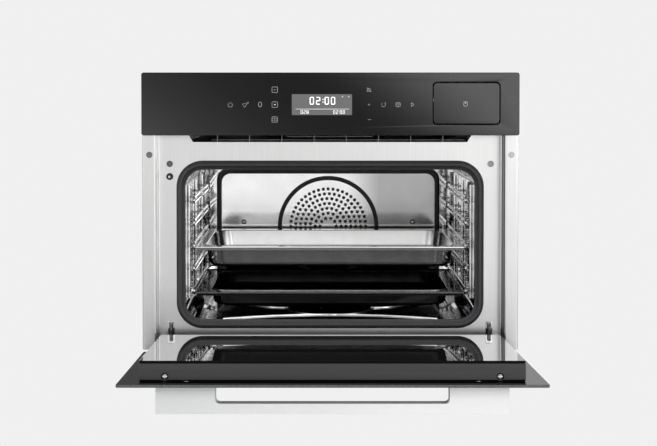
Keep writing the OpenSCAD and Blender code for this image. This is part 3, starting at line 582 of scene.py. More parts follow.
SCREW_HEAD = [(0, 2.2), (1.2, 2.15), (2.6, 1.7), (3.6, 0.7), (3.8, 0), (0, 0)]
EDGE_IN = 9 * mm
SCREWS_PER_EDGE = 4
case_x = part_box("side_panels")[1].x
rear_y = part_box("rear_cover")[1].y
case_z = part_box("top_cover")[1].z


def pan_screws(start, step, axis):
    """A row of pan-head screws along one edge, whose heads stand out along the axis."""
    return repeat_row(lathe(SCREW_HEAD, axis, start, 20), SCREWS_PER_EDGE, step, zinc_sheet)


rear_screws = [pan_screws((s * (case_x - EDGE_IN), rear_y, 30 * mm), (0, 0, 129 * mm), "y") for s in SIDES]
rear_screws.append(pan_screws((-190 * mm, rear_y, case_z - EDGE_IN), (127 * mm, 0, 0), "y"))
for screws in rear_screws:
    screws.data.transform(Matrix.Translation((0, 2 * rear_y, 0)) @ Matrix.Scale(-1, 4, (0, 1, 0)))
assemble("rear_cover_screws", rear_screws, zinc_sheet, "zinc_sheet")
assemble("top_cover_screws", [pan_screws((s * (case_x - EDGE_IN), 60 * mm, case_z), (0, 145 * mm, 0), "z")
                              for s in SIDES], zinc_sheet, "zinc_sheet")

# Long pressed ribs in the side panels and the top cover
RIB_L, RIB_H, RIB_LEAN = 400 * mm, 1.2 * mm, 5 * mm
SIDE_RIB_W, TOP_RIB_W = 26 * mm, 30 * mm
RIBS_Y = 285 * mm


def pressed_rib(width, facing, level, x, y):
    """A raised pad with leaning sides on a panel."""
    low = loop_rect(RIB_L, width, width * 0.45, x, y, 6)
    high = loop_rect(RIB_L - RIB_LEAN, width - RIB_LEAN, width * 0.3, x, y, 6)
    return stand(skin("rib", [[(*p, 0) for p in low], [(*p, RIB_H) for p in high]]), facing, level)


ribs = [pressed_rib(SIDE_RIB_W, "x", case_x, RIBS_Y, z * mm) for z in (110, 225, 340) for s in SIDES]
for rib in ribs[::2]:
    rib.data.transform(Matrix.Scale(-1, 4, (1, 0, 0)))
assemble("side_panel_ribs", ribs, zinc_sheet, "zinc_sheet")
assemble("top_cover_ribs", [pressed_rib(TOP_RIB_W, "z", case_z, 0, y * mm) for y in (140, 285, 430)],
         zinc_sheet, "zinc_sheet")

dress(grey_rubber, "cable_gland")
dress(shader("ceramic", (0.85, 0.83, 0.76), [300, 0.25, 0.4]), "terminal_block", "lamp_holder")

# --------------------
# Cooking cavity. Bright steel walls with a rolled mouth edge, joined to a back
# wall whose pocket holds the fan, with the baffle plate, heaters, lamp and probe.

steel_polished = shader("steel_polished", [(12, 6, 25), 0.50, 0.97], [(25, 12, 25), 0.03, 0.08], 1.0)
emboss(steel_polished, grain(steel_polished, (9, 5, 14), 1.0, 0.4), 2.5 * mm, 0.6)

BACK_LOW, BACK_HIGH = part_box("cavity_back")
back_y = BACK_LOW.y
DISH_HOLE_R = 70 * mm
dish_y = middle_of("evaporator_dish").y
lamp_at = middle_of("lamp_lens")
lamp_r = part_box("lamp_lens")[1].z - lamp_at.z


def bored(piece, cutter):
    """Cuts one closed shape out of another and keeps the plain mesh."""
    cut = piece.modifiers.new("cut", "BOOLEAN")
    cut.operation = "DIFFERENCE"
    cut.solver = "EXACT"
    cut.object = cutter
    result = to_mesh(piece, piece.name)
    drop(cutter)
    return result


shell = plate([loop_round(CAVITY, MOUTH_R + CAVITY_WALL, 0, 16),
               loop_round(CAVITY, MOUTH_R, -CAVITY_WALL, 16)],
              panel_rear, back_y, "y", 0.1 * mm)
shell = bored(shell, rod(DISH_HOLE_R, cavity_floor - 20 * mm, cavity_floor + 5 * mm, "z", (0, dish_y)))
shell = bored(shell, rod(lamp_r, -cavity_half - 20 * mm, -cavity_half + 8 * mm, "x", (lamp_at.y, lamp_at.z)))
assemble("shell", [shell], steel_polished, "steel_polished", "cavity_shell", angle=30)
dress(steel_polished, "cavity_back", "temperature_probe")


def second_finish(piece, paint, chosen):
    """Gives the chosen faces of a piece another material."""
    piece.data.materials.append(paint)
    for face in piece.data.polygons:
        if chosen(face):
            face.material_index = 1


# Painted shade: the back wall's faces behind its front, in the fan pocket, are painted near-black steel for
# the shade in there
pocket_painted_shade = shader("pocket_painted_shade", [30, 0.07, 0.13], [60, 0.3, 0.45], 1.0)
second_finish(frame["nodes"]["cavity_back"], pocket_painted_shade, lambda face: face.center.y > back_y + 1.5 * mm)

# Baffle plate: a flat sheet with a rolled edge, a raised ring and rings of perforations
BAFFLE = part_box("fan_baffle")
BAFFLE_T = 1.2 * mm
RING_R = 85.3
RING_OUT = 93
HOLE_R = 3.0 * mm
RING_STEP = 9 * mm
FIRST_RING = 15 * mm
baffle_y = back_y - BAFFLE_T
fan_z = middle_of("convection_fan").z
fan_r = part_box("convection_fan")[1].z - fan_z
perforations = []
ring = FIRST_RING
while ring <= fan_r - 2.9 * mm:
    around = loop_circle(ring, 0, fan_z, math.floor(2 * math.pi * ring / RING_STEP))
    perforations += [loop_circle(HOLE_R, x, z, 10) for x, z in around]
    ring += RING_STEP

# Painted reflection and shadow: the plate is painted lighter towards the left, for a brighter wall that it
# mirrors, and near black at its foot, for the trays' shadow
baffle_steel = shader("baffle_steel", (0.80, 0.80, 0.80), [30, 0.10, 0.15], 1.0)
emboss(baffle_steel, grain(baffle_steel, (9, 9, 5), 1.0, 0.4), 1.0 * mm, 0.25)
tree = baffle_steel.node_tree
at = place(baffle_steel)
across = calc(tree, "MAXIMUM", calc(tree, "SUBTRACT", 0.93, calc(tree, "MULTIPLY", at["X"], 6.7)), 0.3)
below = calc(tree, "MAXIMUM", calc(tree, "SUBTRACT", 0.146, at["Z"]), 0.0)
shade = calc(tree, "SUBTRACT", across, calc(tree, "MULTIPLY", below, 80.0))
lay(baffle_steel, "Base Color", ramp(tree, shade, [(0.1, 0.02), (0.3, 0.50), (0.7, 0.97)]))
ground = plate([loop_round(BAFFLE, 17 * mm, 0, 10), loop_circle(RING_R * mm, 0, fan_z, 96)],
               baffle_y, back_y, "y", 0.4 * mm)
disc = plate([loop_circle((RING_R + 0.2) * mm, 0, fan_z, 96)] + perforations, baffle_y, back_y,
             edge=0.12 * mm)
assemble("fan_baffle_plate", [ground, disc], baffle_steel, "steel_polished", "fan_baffle")

# The ring is a near-black seam round the perforated disc, pressed proud of the plate. The near-black sheet
# round the plate, just in front of the back wall, is painted shade for the dark gap round the plate
heat_tint_and_shade = shader("heat_tint_and_shade", [200, (0.010, 0.010, 0.011), (0.025, 0.025, 0.026)], [90, 0.28, 0.45], 0.6)
seam = lathe([(RING_R, 0), (RING_R, 0.7), (RING_R + 1.2, 1), (RING_OUT - 1.2, 1), (RING_OUT, 0.7),
              (RING_OUT, 0), (RING_R, 0)], "y", (0, baffle_y, fan_z), 96)
surround = plate([loop_round(BAFFLE, 23 * mm, 6 * mm, 10)], back_y - 0.6 * mm, back_y - 0.1 * mm,
                 edge=0.1 * mm)
surround = bored(surround, rod(RING_R * mm, back_y - 4 * mm, back_y + 4 * mm, "y", (0, fan_z), 96))
assemble("baffle_seams", [seam, surround], heat_tint_and_shade, "heater_sheath")

# Baffle screws: dark countersunk washers with bright cross-slotted heads
SLOT_L, SLOT_W = 3.2 * mm, 0.8 * mm
SLOT_FLOOR = 1.2 * mm
POST_WIDE_R = 5 * mm
screw_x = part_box("baffle_screws")[1].x - POST_WIDE_R
screw_z = middle_of("baffle_screws").z
washer_profile = [(3.2, 0), (4.5, 0), (4.5, 0.5), (3.9, 0.8), (3.2, 0.8), (3.2, 0)]
head_profile = [(0, 2.2), (1.4, 2.1), (2.6, 1.5), (3.1, 0.5), (3.1, 0), (0, 0)]
screw_steel = shader("screw_steel", (0.75, 0.75, 0.75), [800, 0.18, 0.3], 1.0)
washers, heads = [], []
for x in (-screw_x, screw_x):
    washers.append(lathe(washer_profile, "y", (x, baffle_y, screw_z)))
    head = lathe(head_profile, "y", (x, baffle_y, screw_z), 32)
    for w, h in ((SLOT_L, SLOT_W), (SLOT_W, SLOT_L)):
        head = bored(head, plate([loop_rect(w, h, 0.1 * mm, x, screw_z, 2)], baffle_y - 3 * mm,
                                 baffle_y - SLOT_FLOOR, "y", 0.05 * mm))
    heads += [head, rod(POST_WIDE_R, back_y, BACK_HIGH.y - CAVITY_WALL, "y", (x, screw_z), 32)]
assemble("baffle_washers", washers, heat_tint_and_shade, "heater_sheath")
assemble("baffle_screw_heads", heads, screw_steel, "zinc_sheet", "baffle_screws", angle=25)

# Fan behind the baffle and the motors: the blades are painted near-black steel, painted shade behind the
# perforations
dress(shader("blade_steel", [60, 0.05, 0.14], [120, 0.3, 0.45], 1.0), "convection_fan")
dress(shader("motor_steel", (0.50, 0.50, 0.52), [(20, 300, 300), 0.3, 0.45], 1.0),
      "fan_motor", "blower_motor")

# Ring heater: a round sheath with a matt heat-tinted skin
dress(shader("heater_sheath", [50, (0.07, 0.068, 0.066), (0.16, 0.15, 0.14)], [200, 0.4, 0.6], 0.4),
      "ring_heater", "evaporator_heater")

# Evaporator dish: a shallow bowl with a rolled rim, its centre scaled by the boiled water
dish_steel = shader("dish_steel", [25, 0.70, 0.92], [90, 0.1, 0.28], 1.0)
dish_profile = [(0, -8.2), (50, -8.2), (57, -7.6), (62, -5.4), (66, -1.8), (68.5, 0.3), (70.5, 1.4),
                (74.5, 1.6), (75.9, 1.4), (76, 0), (69.6, 0), (69.4, -1.6), (62, -9), (0, -9)]
bowl = lathe(dish_profile, "z", (0, dish_y, cavity_floor), 96)
assemble("evaporator_bowl", [bowl], dish_steel, "steel_polished", "evaporator_dish", angle=50)

# Low steps pressed into the cavity's floor: each has an upright front and falls away to the rear
STEP_RUN = 14 * mm
STEP_LEAN = 0.15 * mm
MIDDLE_H, SIDE_H = 1.9 * mm, 2.0 * mm
MIDDLE_HALF, MIDDLE_Y, MIDDLE_BOW = 172 * mm, 63 * mm, 43 * mm
SIDE_X, SIDE_REACH = 190 * mm, 120 * mm
SIDE_Y, SIDE_BOW = 210 * mm, 76 * mm
MIDDLE_PARTS, SIDE_PARTS = 24, 16


def floor_step(points, height):
    return skin("step", [[(x, y, cavity_floor), (x, y + STEP_LEAN, cavity_floor + height),
                          (x, y + STEP_RUN, cavity_floor), (x, y + STEP_RUN / 2, cavity_floor - 0.2 * mm)]
                         for x, y in points])


bow = [i / MIDDLE_PARTS - 1 for i in range(2 * MIDDLE_PARTS + 1)]
steps = [floor_step([(MIDDLE_HALF * f, MIDDLE_Y - MIDDLE_BOW * f ** 2) for f in bow], MIDDLE_H)]
sweep = [i / SIDE_PARTS for i in range(SIDE_PARTS + 1)]
steps += [floor_step([(s * (SIDE_X - SIDE_REACH * f), SIDE_Y - SIDE_BOW * math.sin(math.pi / 2 * f))
                      for f in sweep], SIDE_H) for s in SIDES]
assemble("cavity_floor_steps", steps, dish_steel, "steel_polished")

# Lamp: a prismatic glass dome in its ceramic holder
lamp_glass = shader("lamp_glass", (0.95, 0.94, 0.88), 0.12, Transmission_Weight=0.85)
tree = lamp_glass.node_tree
spot = add(tree, "ShaderNodeMapping", {0: add(tree, "ShaderNodeTexCoord").outputs["Object"],
                                       "Location": (0, -lamp_at.y, -lamp_at.z)})
ribs = add(tree, "ShaderNodeTexWave", {"Vector": spot.outputs[0], "Scale": 90}, wave_type="RINGS",
           rings_direction="X")
emboss(lamp_glass, ribs.outputs["Fac"], 0.4 * mm, 0.8)
dress(lamp_glass, "lamp_lens")

mineral_wool = shader("mineral_wool", (0.55, 0.50, 0.36), 0.95)
vary_colour(mineral_wool, grain(mineral_wool, 150, 6), (0.42, 0.37, 0.25), (0.68, 0.62, 0.46))
emboss(mineral_wool, grain(mineral_wool, 300, 6), 2 * mm, 0.9)
dress(mineral_wool, "insulation")

# --------------------
# Side racks. Chromed wire: three posts, and at each level a ledge and a guard
# rail that run out into U-shaped ends at the front and the rear.

chromed_wire = shader("chromed_wire", [60, (0.70, 0.70, 0.71), (0.82, 0.82, 0.83)], [150, 0.08, 0.18], 1.0)
dress(chromed_wire, "rack_nuts")

RACK_LOW, RACK_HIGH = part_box("rack_right")
WIRE_R = 2 * mm
CROSS_R = 1.8 * mm
POST_R = 2.2 * mm
POST_IN = 14 * mm
FIRST_LEVEL = 40 * mm
LEVEL_STEP = 37 * mm
LEVELS = 5
ledge_z = cavity_floor + FIRST_LEVEL - 3.2 * mm
guard_z = cavity_floor + FIRST_LEVEL + 5 * mm
ledge_x = RACK_LOW.x + WIRE_R
post_x = RACK_HIGH.x - POST_R
post_ys = (RACK_LOW.y + POST_IN, (RACK_LOW.y + RACK_HIGH.y) / 2, RACK_HIGH.y - POST_IN)


def wire(points, r):
    """A round wire along a path of points."""
    curve = bpy.data.curves.new("wire", "CURVE")
    curve.dimensions = "3D"
    curve.bevel_depth = r
    curve.bevel_resolution = 2
    curve.use_fill_caps = True
    draw(curve, points)
    return to_mesh(put("wire", curve), "wire")


# One level's wire: ledge and guard rail with rounded U ends in the upright plane
end_r = (guard_z - ledge_z) / 2
end_in = WIRE_R + end_r
rail = arc(RACK_LOW.y + end_in, ledge_z + end_r, end_r, 90, 270, 12)
rail += arc(RACK_HIGH.y - end_in, ledge_z + end_r, end_r, -90, 90, 12)
level = [wire([(ledge_x, y, z) for y, z in rail + rail[:1]], WIRE_R)]
level += [rod(CROSS_R, ledge_x, post_x, "x", (y, z), 12) for y in post_ys for z in (ledge_z, guard_z)]
levels = repeat_row(joined("rack_levels", level), LEVELS, (0, 0, LEVEL_STEP), chromed_wire)
posts = [rod(POST_R, RACK_LOW.z, RACK_HIGH.z, "z", (post_x, y), 16) for y in post_ys]
right_rack = joined("rack_right_wires", [levels] + posts)
left_rack = put("rack_left_wires", right_rack.data.copy())
left_rack.data.transform(Matrix.Scale(-1, 4, (1, 0, 0)))
for rack, node in ((right_rack, "rack_right"), (left_rack, "rack_left")):
    fit_out(tidy(rack, 40), chromed_wire, "oven_body", "chromed_wire", node)

# --------------------
# Trays. A steel one above a black enamelled one, each with a rolled edge bead
# all round its rim and a trough whose walls lean and meet the floor in a radius.

tray_steel = shader("tray_steel", [30, (0.82, 0.82, 0.815), (0.88, 0.88, 0.875)], [40, 0.14, 0.18], 1.0)
emboss(tray_steel, grain(tray_steel, 6, 0.0), 0.5 * mm, 0.05)
black_enamel = shader("black_enamel", (0.010, 0.010, 0.011), [40, 0.06, 0.2])
vary_colour(black_enamel, grain(black_enamel, 4000, 1.0), (0.002, 0.002, 0.003), (0.006, 0.006, 0.007))
emboss(black_enamel, grain(black_enamel, 60, 2.0), 0.3 * mm, 0.3)

TRAY_T = 0.9 * mm
TROUGH_R = 30 * mm
TROUGH_LEAN = 3 * mm
TROUGH_CURVE = 8 * mm
LIP_H = 6 * mm
LIP_IN = 8 * mm
LIP_LEAN = 7
EDGE_LEAN = -4


def tray(name, node, rim, sink, paint, slot):
    """Rings of a rounded rectangle stitched from the outer bead, over the rim and down into the trough."""
    low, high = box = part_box(node)
    top = high.z
    bead = [(0.1, 1.0, 8.0), (0.4, 0.3, 7.7), (1.2, 0.02, 7.0), (2.2, 0.3, 6.5), (3.2, sink, 6.0)]
    upper = [(inset * mm, top - depth * mm, r * mm) for inset, depth, r in bead]
    for inset, depth, r in ((2.2, sink, 2), (1.2, sink + 0.3, 1), (0.3, sink + 1.2, 0)):
        upper.append((rim - inset * mm, top - depth * mm, TROUGH_R + r * mm))
    for out, up in arc(0, 0, TROUGH_CURVE, 0, 90, 6):
        down = TROUGH_CURVE - out
        upper.append((rim + TROUGH_LEAN + down, low.z + TRAY_T + TROUGH_CURVE - up, TROUGH_R - down))
    under = []
    for i, (inset, z, r) in enumerate(upper):
        outwards = TRAY_T if i > len(bead) else 0
        under.append((max(inset - outwards, 0.3 * mm), max(z - TRAY_T, low.z), r + outwards))
    pan = skin(name, [[(*p, z) for p in loop_round(box, r, -inset, 12, "xy")]
                      for inset, z, r in under[::-1] + upper])
    half = high.x - LIP_IN
    strips = []
    for h, r, hang, back, down, lean, edge in (
            (1.5 * mm, 0.3 * mm, 0.75 * mm, 0.2 * mm, 0.2 * mm, EDGE_LEAN, 0.1 * mm),
            (LIP_H - 2.2 * mm, 1 * mm, LIP_H / 2, 0.1 * mm, 0.6 * mm, LIP_LEAN, 0.2 * mm)):
        strip = plate([loop_rect(2 * half, h, r, 0, -hang, 3)], 0, TRAY_T, "y", edge)
        strip.data.transform(Matrix.Translation((0, low.y + back, top - down))
                             @ Matrix.Rotation(math.radians(lean), 4, "X"))
        strips.append(strip)
    roll = rod(0.8 * mm, -half, half, "x", (low.y + 1.4 * mm, top - LIP_H + 0.95 * mm), 12)
    assemble(name, [pan, *strips, roll], paint, slot, node, body=node, angle=40)


tray("steel_baking_tray", "steel_tray", 22 * mm, 0.55, tray_steel, "steel_brushed")
tray("enamel_baking_tray", "enamel_tray", 30 * mm, 1.7, black_enamel, "black_enamel")

# Painted highlight: bright metal along the bead at the trough's edge and along the front edge stands in for
# the enamel's edge highlights; the rear part keeps the black enamel
BEAD_W = 1 * mm
REAR_PART = 50 * mm
edge_highlight_paint = shader("edge_highlight_paint", [60, 0.75, 0.95], [200, 0.12, 0.25], 1.0)
enamel_low, enamel_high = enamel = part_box("enamel_tray")
bead = plate([loop_round(enamel, TROUGH_R + grow, grow - TROUGH_R, 12, "xy") for grow in (BEAD_W, 0)],
             enamel_high.z - 1.7 * mm, enamel_high.z - 0.6 * mm, "z", 0.1 * mm)
front_bead = rod(0.6 * mm, LIP_IN - enamel_high.x, enamel_high.x - LIP_IN, "x",
                 (enamel_low.y + 0.7 * mm, enamel_high.z - 1.0 * mm), 12)
beads = assemble("enamel_tray_beads", [bead, front_bead], edge_highlight_paint, "black_enamel", body="enamel_tray")
second_finish(beads, black_enamel, lambda face: face.center.y > enamel_high.y - REAR_PART)

# --------------------
# Door seal. A silicone profile swept round the cavity's mouth: a flat foot on
# the frame, a fold, and a raised lip that the door's glass presses.

seal_silicone = shader("seal_silicone", [700, (0.030, 0.030, 0.032), (0.045, 0.045, 0.048)],
                       [90, 0.42, 0.6], 0.0, [1500, 0.03 * mm, 0.4])
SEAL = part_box("door_seal")
SEAL_W = 12.6 * mm
SEAL_R = MOUTH_R + 1.7 * mm + SEAL_W
SEAL_H = 7.9
seal_proud = SEAL[1].y - SEAL[0].y
# Inset from the outer edge and height above the frame, as a closed profile in millimetres
SEAL_PROFILE = [(0.1, 0), (0, 0.8), (0.4, 2.2), (1.5, 3.4), (2.6, 4.4), (3.2, 5.9), (4.2, 7.3),
                (5.6, SEAL_H), (7.2, SEAL_H), (8.6, 7.2), (9.4, 6.0), (9.9, 4.6), (10.8, 3.2), (12.0, 2.2),
                (13.4, 1.2), (14.5, 0.9), (14.5, -1.5), (14.3, -1.5), (14.25, 0)]
rings = [[(x, SEAL[1].y - h * seal_proud / SEAL_H, z)
          for x, z in loop_round(SEAL, SEAL_R - inset * mm, -inset * mm, 16)] for inset, h in SEAL_PROFILE]
assemble("door_gasket", [skin("gasket", rings, around=True, capped=False)], seal_silicone,
         "seal_silicone", "door_seal", angle=50)

# --------------------
# Cooling air outlet. Thin light fins stand in the slanted slot under the control
# panel; the duct runs back from it to a drum blower between the two covers.

dark_plastic = shader("dark_plastic", [900, (0.016, 0.016, 0.018), (0.03, 0.03, 0.032)],
                      [400, 0.36, 0.52], 0.0, [2500, 0.03 * mm, 0.4])
light_fin = shader("light_fin", (0.30, 0.30, 0.31), [300, 0.38, 0.52], 0.6)
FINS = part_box("outlet_fins")
FIN_COUNT = 8
FIN_T = 1.2 * mm
fin_step = (FINS[1].x - FINS[0].x - FIN_T) / (FIN_COUNT - 1)
fin = plate([loop_round(FINS, 0.5 * mm, 0, 3, "yz")], FINS[0].x, FINS[0].x + FIN_T, "x")
assemble("air_fins", [repeat_row(fin, FIN_COUNT, (fin_step, 0, 0), light_fin)], light_fin,
         "dark_plastic", "outlet_fins")
# A light guide vane along the upper part of the slot, and the rolled lip behind the slot's lower edge
vane = plate([loop_rect(8 * mm, 1.2 * mm, 0.4 * mm, FINS[0].y + 5 * mm, panel_foot - 3.2 * mm, 3)],
             -70 * mm, 68 * mm, "x")
assemble("guide_vane", [vane], light_fin, "dark_plastic")
lip = rod(0.5 * mm, 30 * mm - SLOT_LOW_HALF, SLOT_LOW_HALF - 4 * mm, "x",
          (panel_rear + 1 * mm, slot_low + 3.4 * mm), 12)
assemble("outlet_lip", [lip], brushed_steel, "steel_brushed")

circuit_board = shader("circuit_board", (0.03, 0.16, 0.07), 0.4)
tree = circuit_board.node_tree
tracks = add(tree, "ShaderNodeTexBrick", {
    "Vector": add(tree, "ShaderNodeTexCoord").outputs["Object"], "Scale": 90,
    "Color1": (0.02, 0.12, 0.05, 1), "Color2": (0.03, 0.17, 0.07, 1), "Mortar": (0.06, 0.24, 0.10, 1)})
lay(circuit_board, "Base Color", tracks.outputs["Color"])
dress(circuit_board, "power_board", "touch_board")
dress(dark_plastic, "steam_pump", "door_switch", "switch_plunger", "panel_carrier", "tank_lid",
      "door_side_profiles", "door_bottom_profile")
dress(shader("silicone_pipe", (0.7, 0.7, 0.7), [200, 0.4, 0.55]), "water_pipe")

# The door switch: a dark boot round its plunger and a steel tip on it
plunger_low, plunger_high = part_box("switch_plunger")
plunger_r = (plunger_high.x - switch_at.x) / mm
boot = lathe([(plunger_r, 0), (plunger_r, 0.6), (5.2, 0.6), (5.4, 0), (plunger_r, 0)],
             "y", (switch_at.x, panel_front + 0.8 * mm, switch_at.z), 32)
assemble("switch_boot", [boot], dark_plastic, "dark_plastic")
tip = rod(1.8 * mm, plunger_low.y - 0.1 * mm, plunger_low.y + 0.5 * mm, "y", (switch_at.x, switch_at.z),
          24)
fit_out(joined("switch_tip", [tip]), screw_steel, "switch_plunger", "zinc_sheet")

# --------------------
# Control panel. Black glass with ground edges over a dark carrier; light touch
# symbols are printed on it and a lit display shows the time.

black_glass = shader("black_glass", [15, (0.0018, 0.0018, 0.0019), (0.0024, 0.0024, 0.0025)],
                     [25, 0.045, 0.065])
GLASS_R = 4 * mm
TANK_R = 6 * mm
TANK_GAP = 0.9 * mm
glass_front = PANEL[0].y
panel_glass = plate([loop_round(PANEL, GLASS_R), loop_round(TANK, TANK_R + TANK_GAP, TANK_GAP)],
                    glass_front, PANEL[1].y, "y", 0.5 * mm)
assemble("panel_glass", [panel_glass], black_glass, "black_glass", "control_glass")

PRINT_T = 0.06 * mm
LINE_R = 0.21
FINE_R = 0.16
legend_white = shader("legend_white", (0.32, 0.32, 0.32), [2000, 0.45, 0.6], Emission_Color=(1, 1, 1, 1),
                      Emission_Strength=0.2)


def ink(x, z, *lines, r=LINE_R, level=glass_front):
    """Lines printed on the glass as thin ribbons, each through points in millimetres from x, z."""
    shape = bmesh.new()
    for points in lines:
        for (ax, az), (bx, bz) in zip(points, points[1:]):
            length = math.hypot(bx - ax, bz - az) or 1
            u, w = (bx - ax) / length * r, (bz - az) / length * r
            ex, ez = 0.6 * u, 0.6 * w
            corners = ((ax - w - ex, az + u - ez), (ax + w - ex, az - u - ez), (bx + w + ex, bz - u + ez),
                       (bx - w + ex, bz + u + ez))
            shape.faces.new([shape.verts.new((x + px * mm, level - PRINT_T, z + pz * mm))
                             for px, pz in corners])
    return from_shape("ink", shape)


def ring_of(w, h, r):
    points = loop_rect(w, h, r, steps=3)
    return points + points[:1]


row_z = PANEL[0].z + 48.5 * mm
ROW_STEP = 23.4 * mm
BOX_X = -87.5 * mm
BELL_X = 60.5 * mm
blades = [arc(x, z, 1.5, a - 90, a + 110, 8)
          for (x, z), a in zip(arc(0, -0.6, 1.7, 30, 270, 2), (30, 150, 270))]
icons = [
    # Power, steam and fan, and a rounded vessel
    ink(-157.5 * mm, row_z, arc(0, -0.4, 3.5, 130, 410, 20), [(0, 1.2), (0, 4.2)]),
    ink(-135 * mm, row_z, *blades, [(3.5, 1), (4.4, 4)], [(5.2, 1), (6.1, 4)]),
    ink(-110.6 * mm, row_z + 0.3 * mm, ring_of(4.6, 7.4, 1.9), r=0.3),
    # Bell, plus and minus
    ink(BELL_X, row_z + ROW_STEP, arc(0, -0.5, 2.6, -20, 200, 12), [(-3.6, -2.4), (3.6, -2.4)],
        [(-3.4, 3.4), (3, -3.4)]),
    ink(BELL_X, row_z, [(-1.8, 0), (1.8, 0)], [(0, -1.8), (0, 1.8)], r=FINE_R),
    ink(BELL_X, row_z - ROW_STEP, [(-1.8, 0), (3, 0)], r=FINE_R),
    # Lamp, box and start
    ink(83.4 * mm, row_z, arc(0, -0.5, 3, 120, 400, 20), [(2.4, 2.2), (3.8, 3.8)]),
    ink(106.4 * mm, row_z, ring_of(7, 6.4, 1.2), [(-3, 1), (3, 1)], [(0, -2.8), (0, 1)]),
    ink(127.2 * mm, row_z, [(0, -3.2), (0, 3.2), (4.6, 0), (0, -3.2)]),
]
# Boxed programme symbols in a column: a bar, a dot and a grid
grid = [[(-4.2, -1.4), (4.2, -1.4)], [(-4.2, 1.4), (4.2, 1.4)], [(0, -4.2), (0, 4.2)]]
bar, dot = [[(-1.8, 0), (1.8, 0)]], [[(-0.8, 0), (0.8, 0)]]
for z, r, inner in ((ROW_STEP, LINE_R, bar), (0, 0.9, dot), (-ROW_STEP, 0.15, grid)):
    icons += [ink(BOX_X, row_z + z, ring_of(8.7, 8.7, 1.2)), ink(BOX_X, row_z + z, *inner, r=r)]
fit_out(joined("panel_symbols", icons), legend_white, "oven_body", "display")

# Display: a lit grey window with light bar digits
DISPLAY_W = 94.6 * mm
DISPLAY_H = 32.8 * mm
DISPLAY_X = -13.4 * mm
digit_front = glass_front - 0.03 * mm
display_grey = shader("display_grey", (0.05, 0.05, 0.052), [60, 0.18, 0.24], Emission_Strength=0.085)
digit_white = shader("digit_white", (0.8, 0.8, 0.8), 0.4, Emission_Strength=0.7)
for paint, noise, faint in ((display_grey, grain(display_grey, 14, 1.0), 0.90),
                            (digit_white, grain(digit_white, 900), 0.92)):
    lay(paint, "Emission Color", ramp(paint.node_tree, noise, [(0.2, faint), (0.8, 1.0)]))
dress(display_grey, "display_module")
window = plate([loop_rect(DISPLAY_W, DISPLAY_H, 0.8 * mm, DISPLAY_X, row_z, 4)], digit_front,
               glass_front + 0.5 * mm, "y", 0.01 * mm)
fit_out(joined("display_window", [window]), display_grey, "oven_body", "display")

# A digit's bars, each from one corner to the next, as shares of its width and half its height
BARS = {"a": (0, 2, 1, 2), "b": (1, 2, 1, 1), "c": (1, 1, 1, 0), "d": (0, 0, 1, 0), "e": (0, 1, 0, 0),
        "f": (0, 2, 0, 1), "g": (0, 1, 1, 1)}
LIT = {"0": "abcdef", "2": "abged", "8": "abcdefg"}
display_left = DISPLAY_X - DISPLAY_W / 2
display_low = row_z - DISPLAY_H / 2


def reading(text, x, z, w, h, r, gap):
    """A row of bar digits and colons from its lower left corner at x, z in the window, in millimetres."""
    bars = []
    for character in text:
        if character == ":":
            bars += [[(x + gap * 0.1, z + h * f), (x + gap * 0.1, z + h * f + r)] for f in (0.26, 0.66)]
            x += gap * 0.8
            continue
        for key in LIT[character]:
            ax, az, bx, bz = [share * size for share, size in zip(BARS[key], (w, h / 2, w, h / 2))]
            length = math.hypot(bx - ax, bz - az) / (0.8 * r)
            u, v = (bx - ax) / length, (bz - az) / length
            bars.append([(x + ax + u, z + az + v), (x + bx - u, z + bz - v)])
        x += w + gap
    return bars


shown = [ink(display_left, display_low, *lines, r=r, level=digit_front) for r, lines in (
    (0.68, reading("02:00", 28.8, 17.2, 5.3, 10.6, 0.68, 4.6)),
    (0.28, reading("02:00", 65.4, 2.2, 2.5, 4.8, 0.28, 2.0)),
    (0.28, reading("028", 14.2, 2.2, 2.6, 4.8, 0.28, 2.0)),
    (0.2, [[(6.6, 9.4), (90, 9.4)]]),
    (0.4, [[(79, 28.8), (80.2, 28.8)], [(89, 28.8), (90.2, 28.8)]]))]
fit_out(joined("display_digits", shown), digit_white, "oven_body", "display")

# --------------------
# Water tank. A black glass front on a clear moulded box with a dark lid; it
# slides in a grey housing above the duct.

TANK_INSET = 0.8 * mm
tank_x = middle_of("tank_front").x
tank_glass = plate([loop_round(TANK, TANK_R, -TANK_INSET)], glass_front, PANEL[1].y, "y", 0.5 * mm)
tank_block = plate([loop_round(TANK, TANK_R - 1 * mm, -2.5 * mm, 6)], PANEL[1].y, TANK[1].y, "y", 0.4 * mm)
assemble("tank_front_plate", [tank_glass, tank_block], black_glass, "black_glass", "tank_front",
         body="water_tank")
symbol = [ink(tank_x - 1.6 * mm, row_z, arc(0, 0.6, 3.1, 130, 410, 20), [(0, 1.4), (0, 4.6)], r=0.45),
          ink(tank_x - 1.6 * mm, row_z, [(-3, 4.4), (3, 4.4)], r=0.3)]
fit_out(joined("tank_symbol", symbol), legend_white, "water_tank", "display")
dress(shader("clear_plastic", (0.80, 0.84, 0.86), [50, 0.05, 0.14], Transmission_Weight=0.9, IOR=1.49),
      "tank_body")
dress(shader("grey_plastic", (0.5, 0.5, 0.51), [600, 0.4, 0.55], 0.0, [1500, 0.03 * mm, 0.4]),
      "tank_housing")

# --------------------
# Door. Three glass panes between dark side profiles and a top trim, drawn shut
# and then swung down about the hinge pins to where the door rests.

hinge = next(j for j in frame["joints"] if j["name"] == "door_hinge")
pivot = Vector(hinge["pos_m"])
opening = Matrix.Rotation(math.radians(hinge["range_deg"][1]), 4, -Vector(hinge["axis"]))
swing = Matrix.Translation(pivot) @ opening @ Matrix.Translation(-pivot)


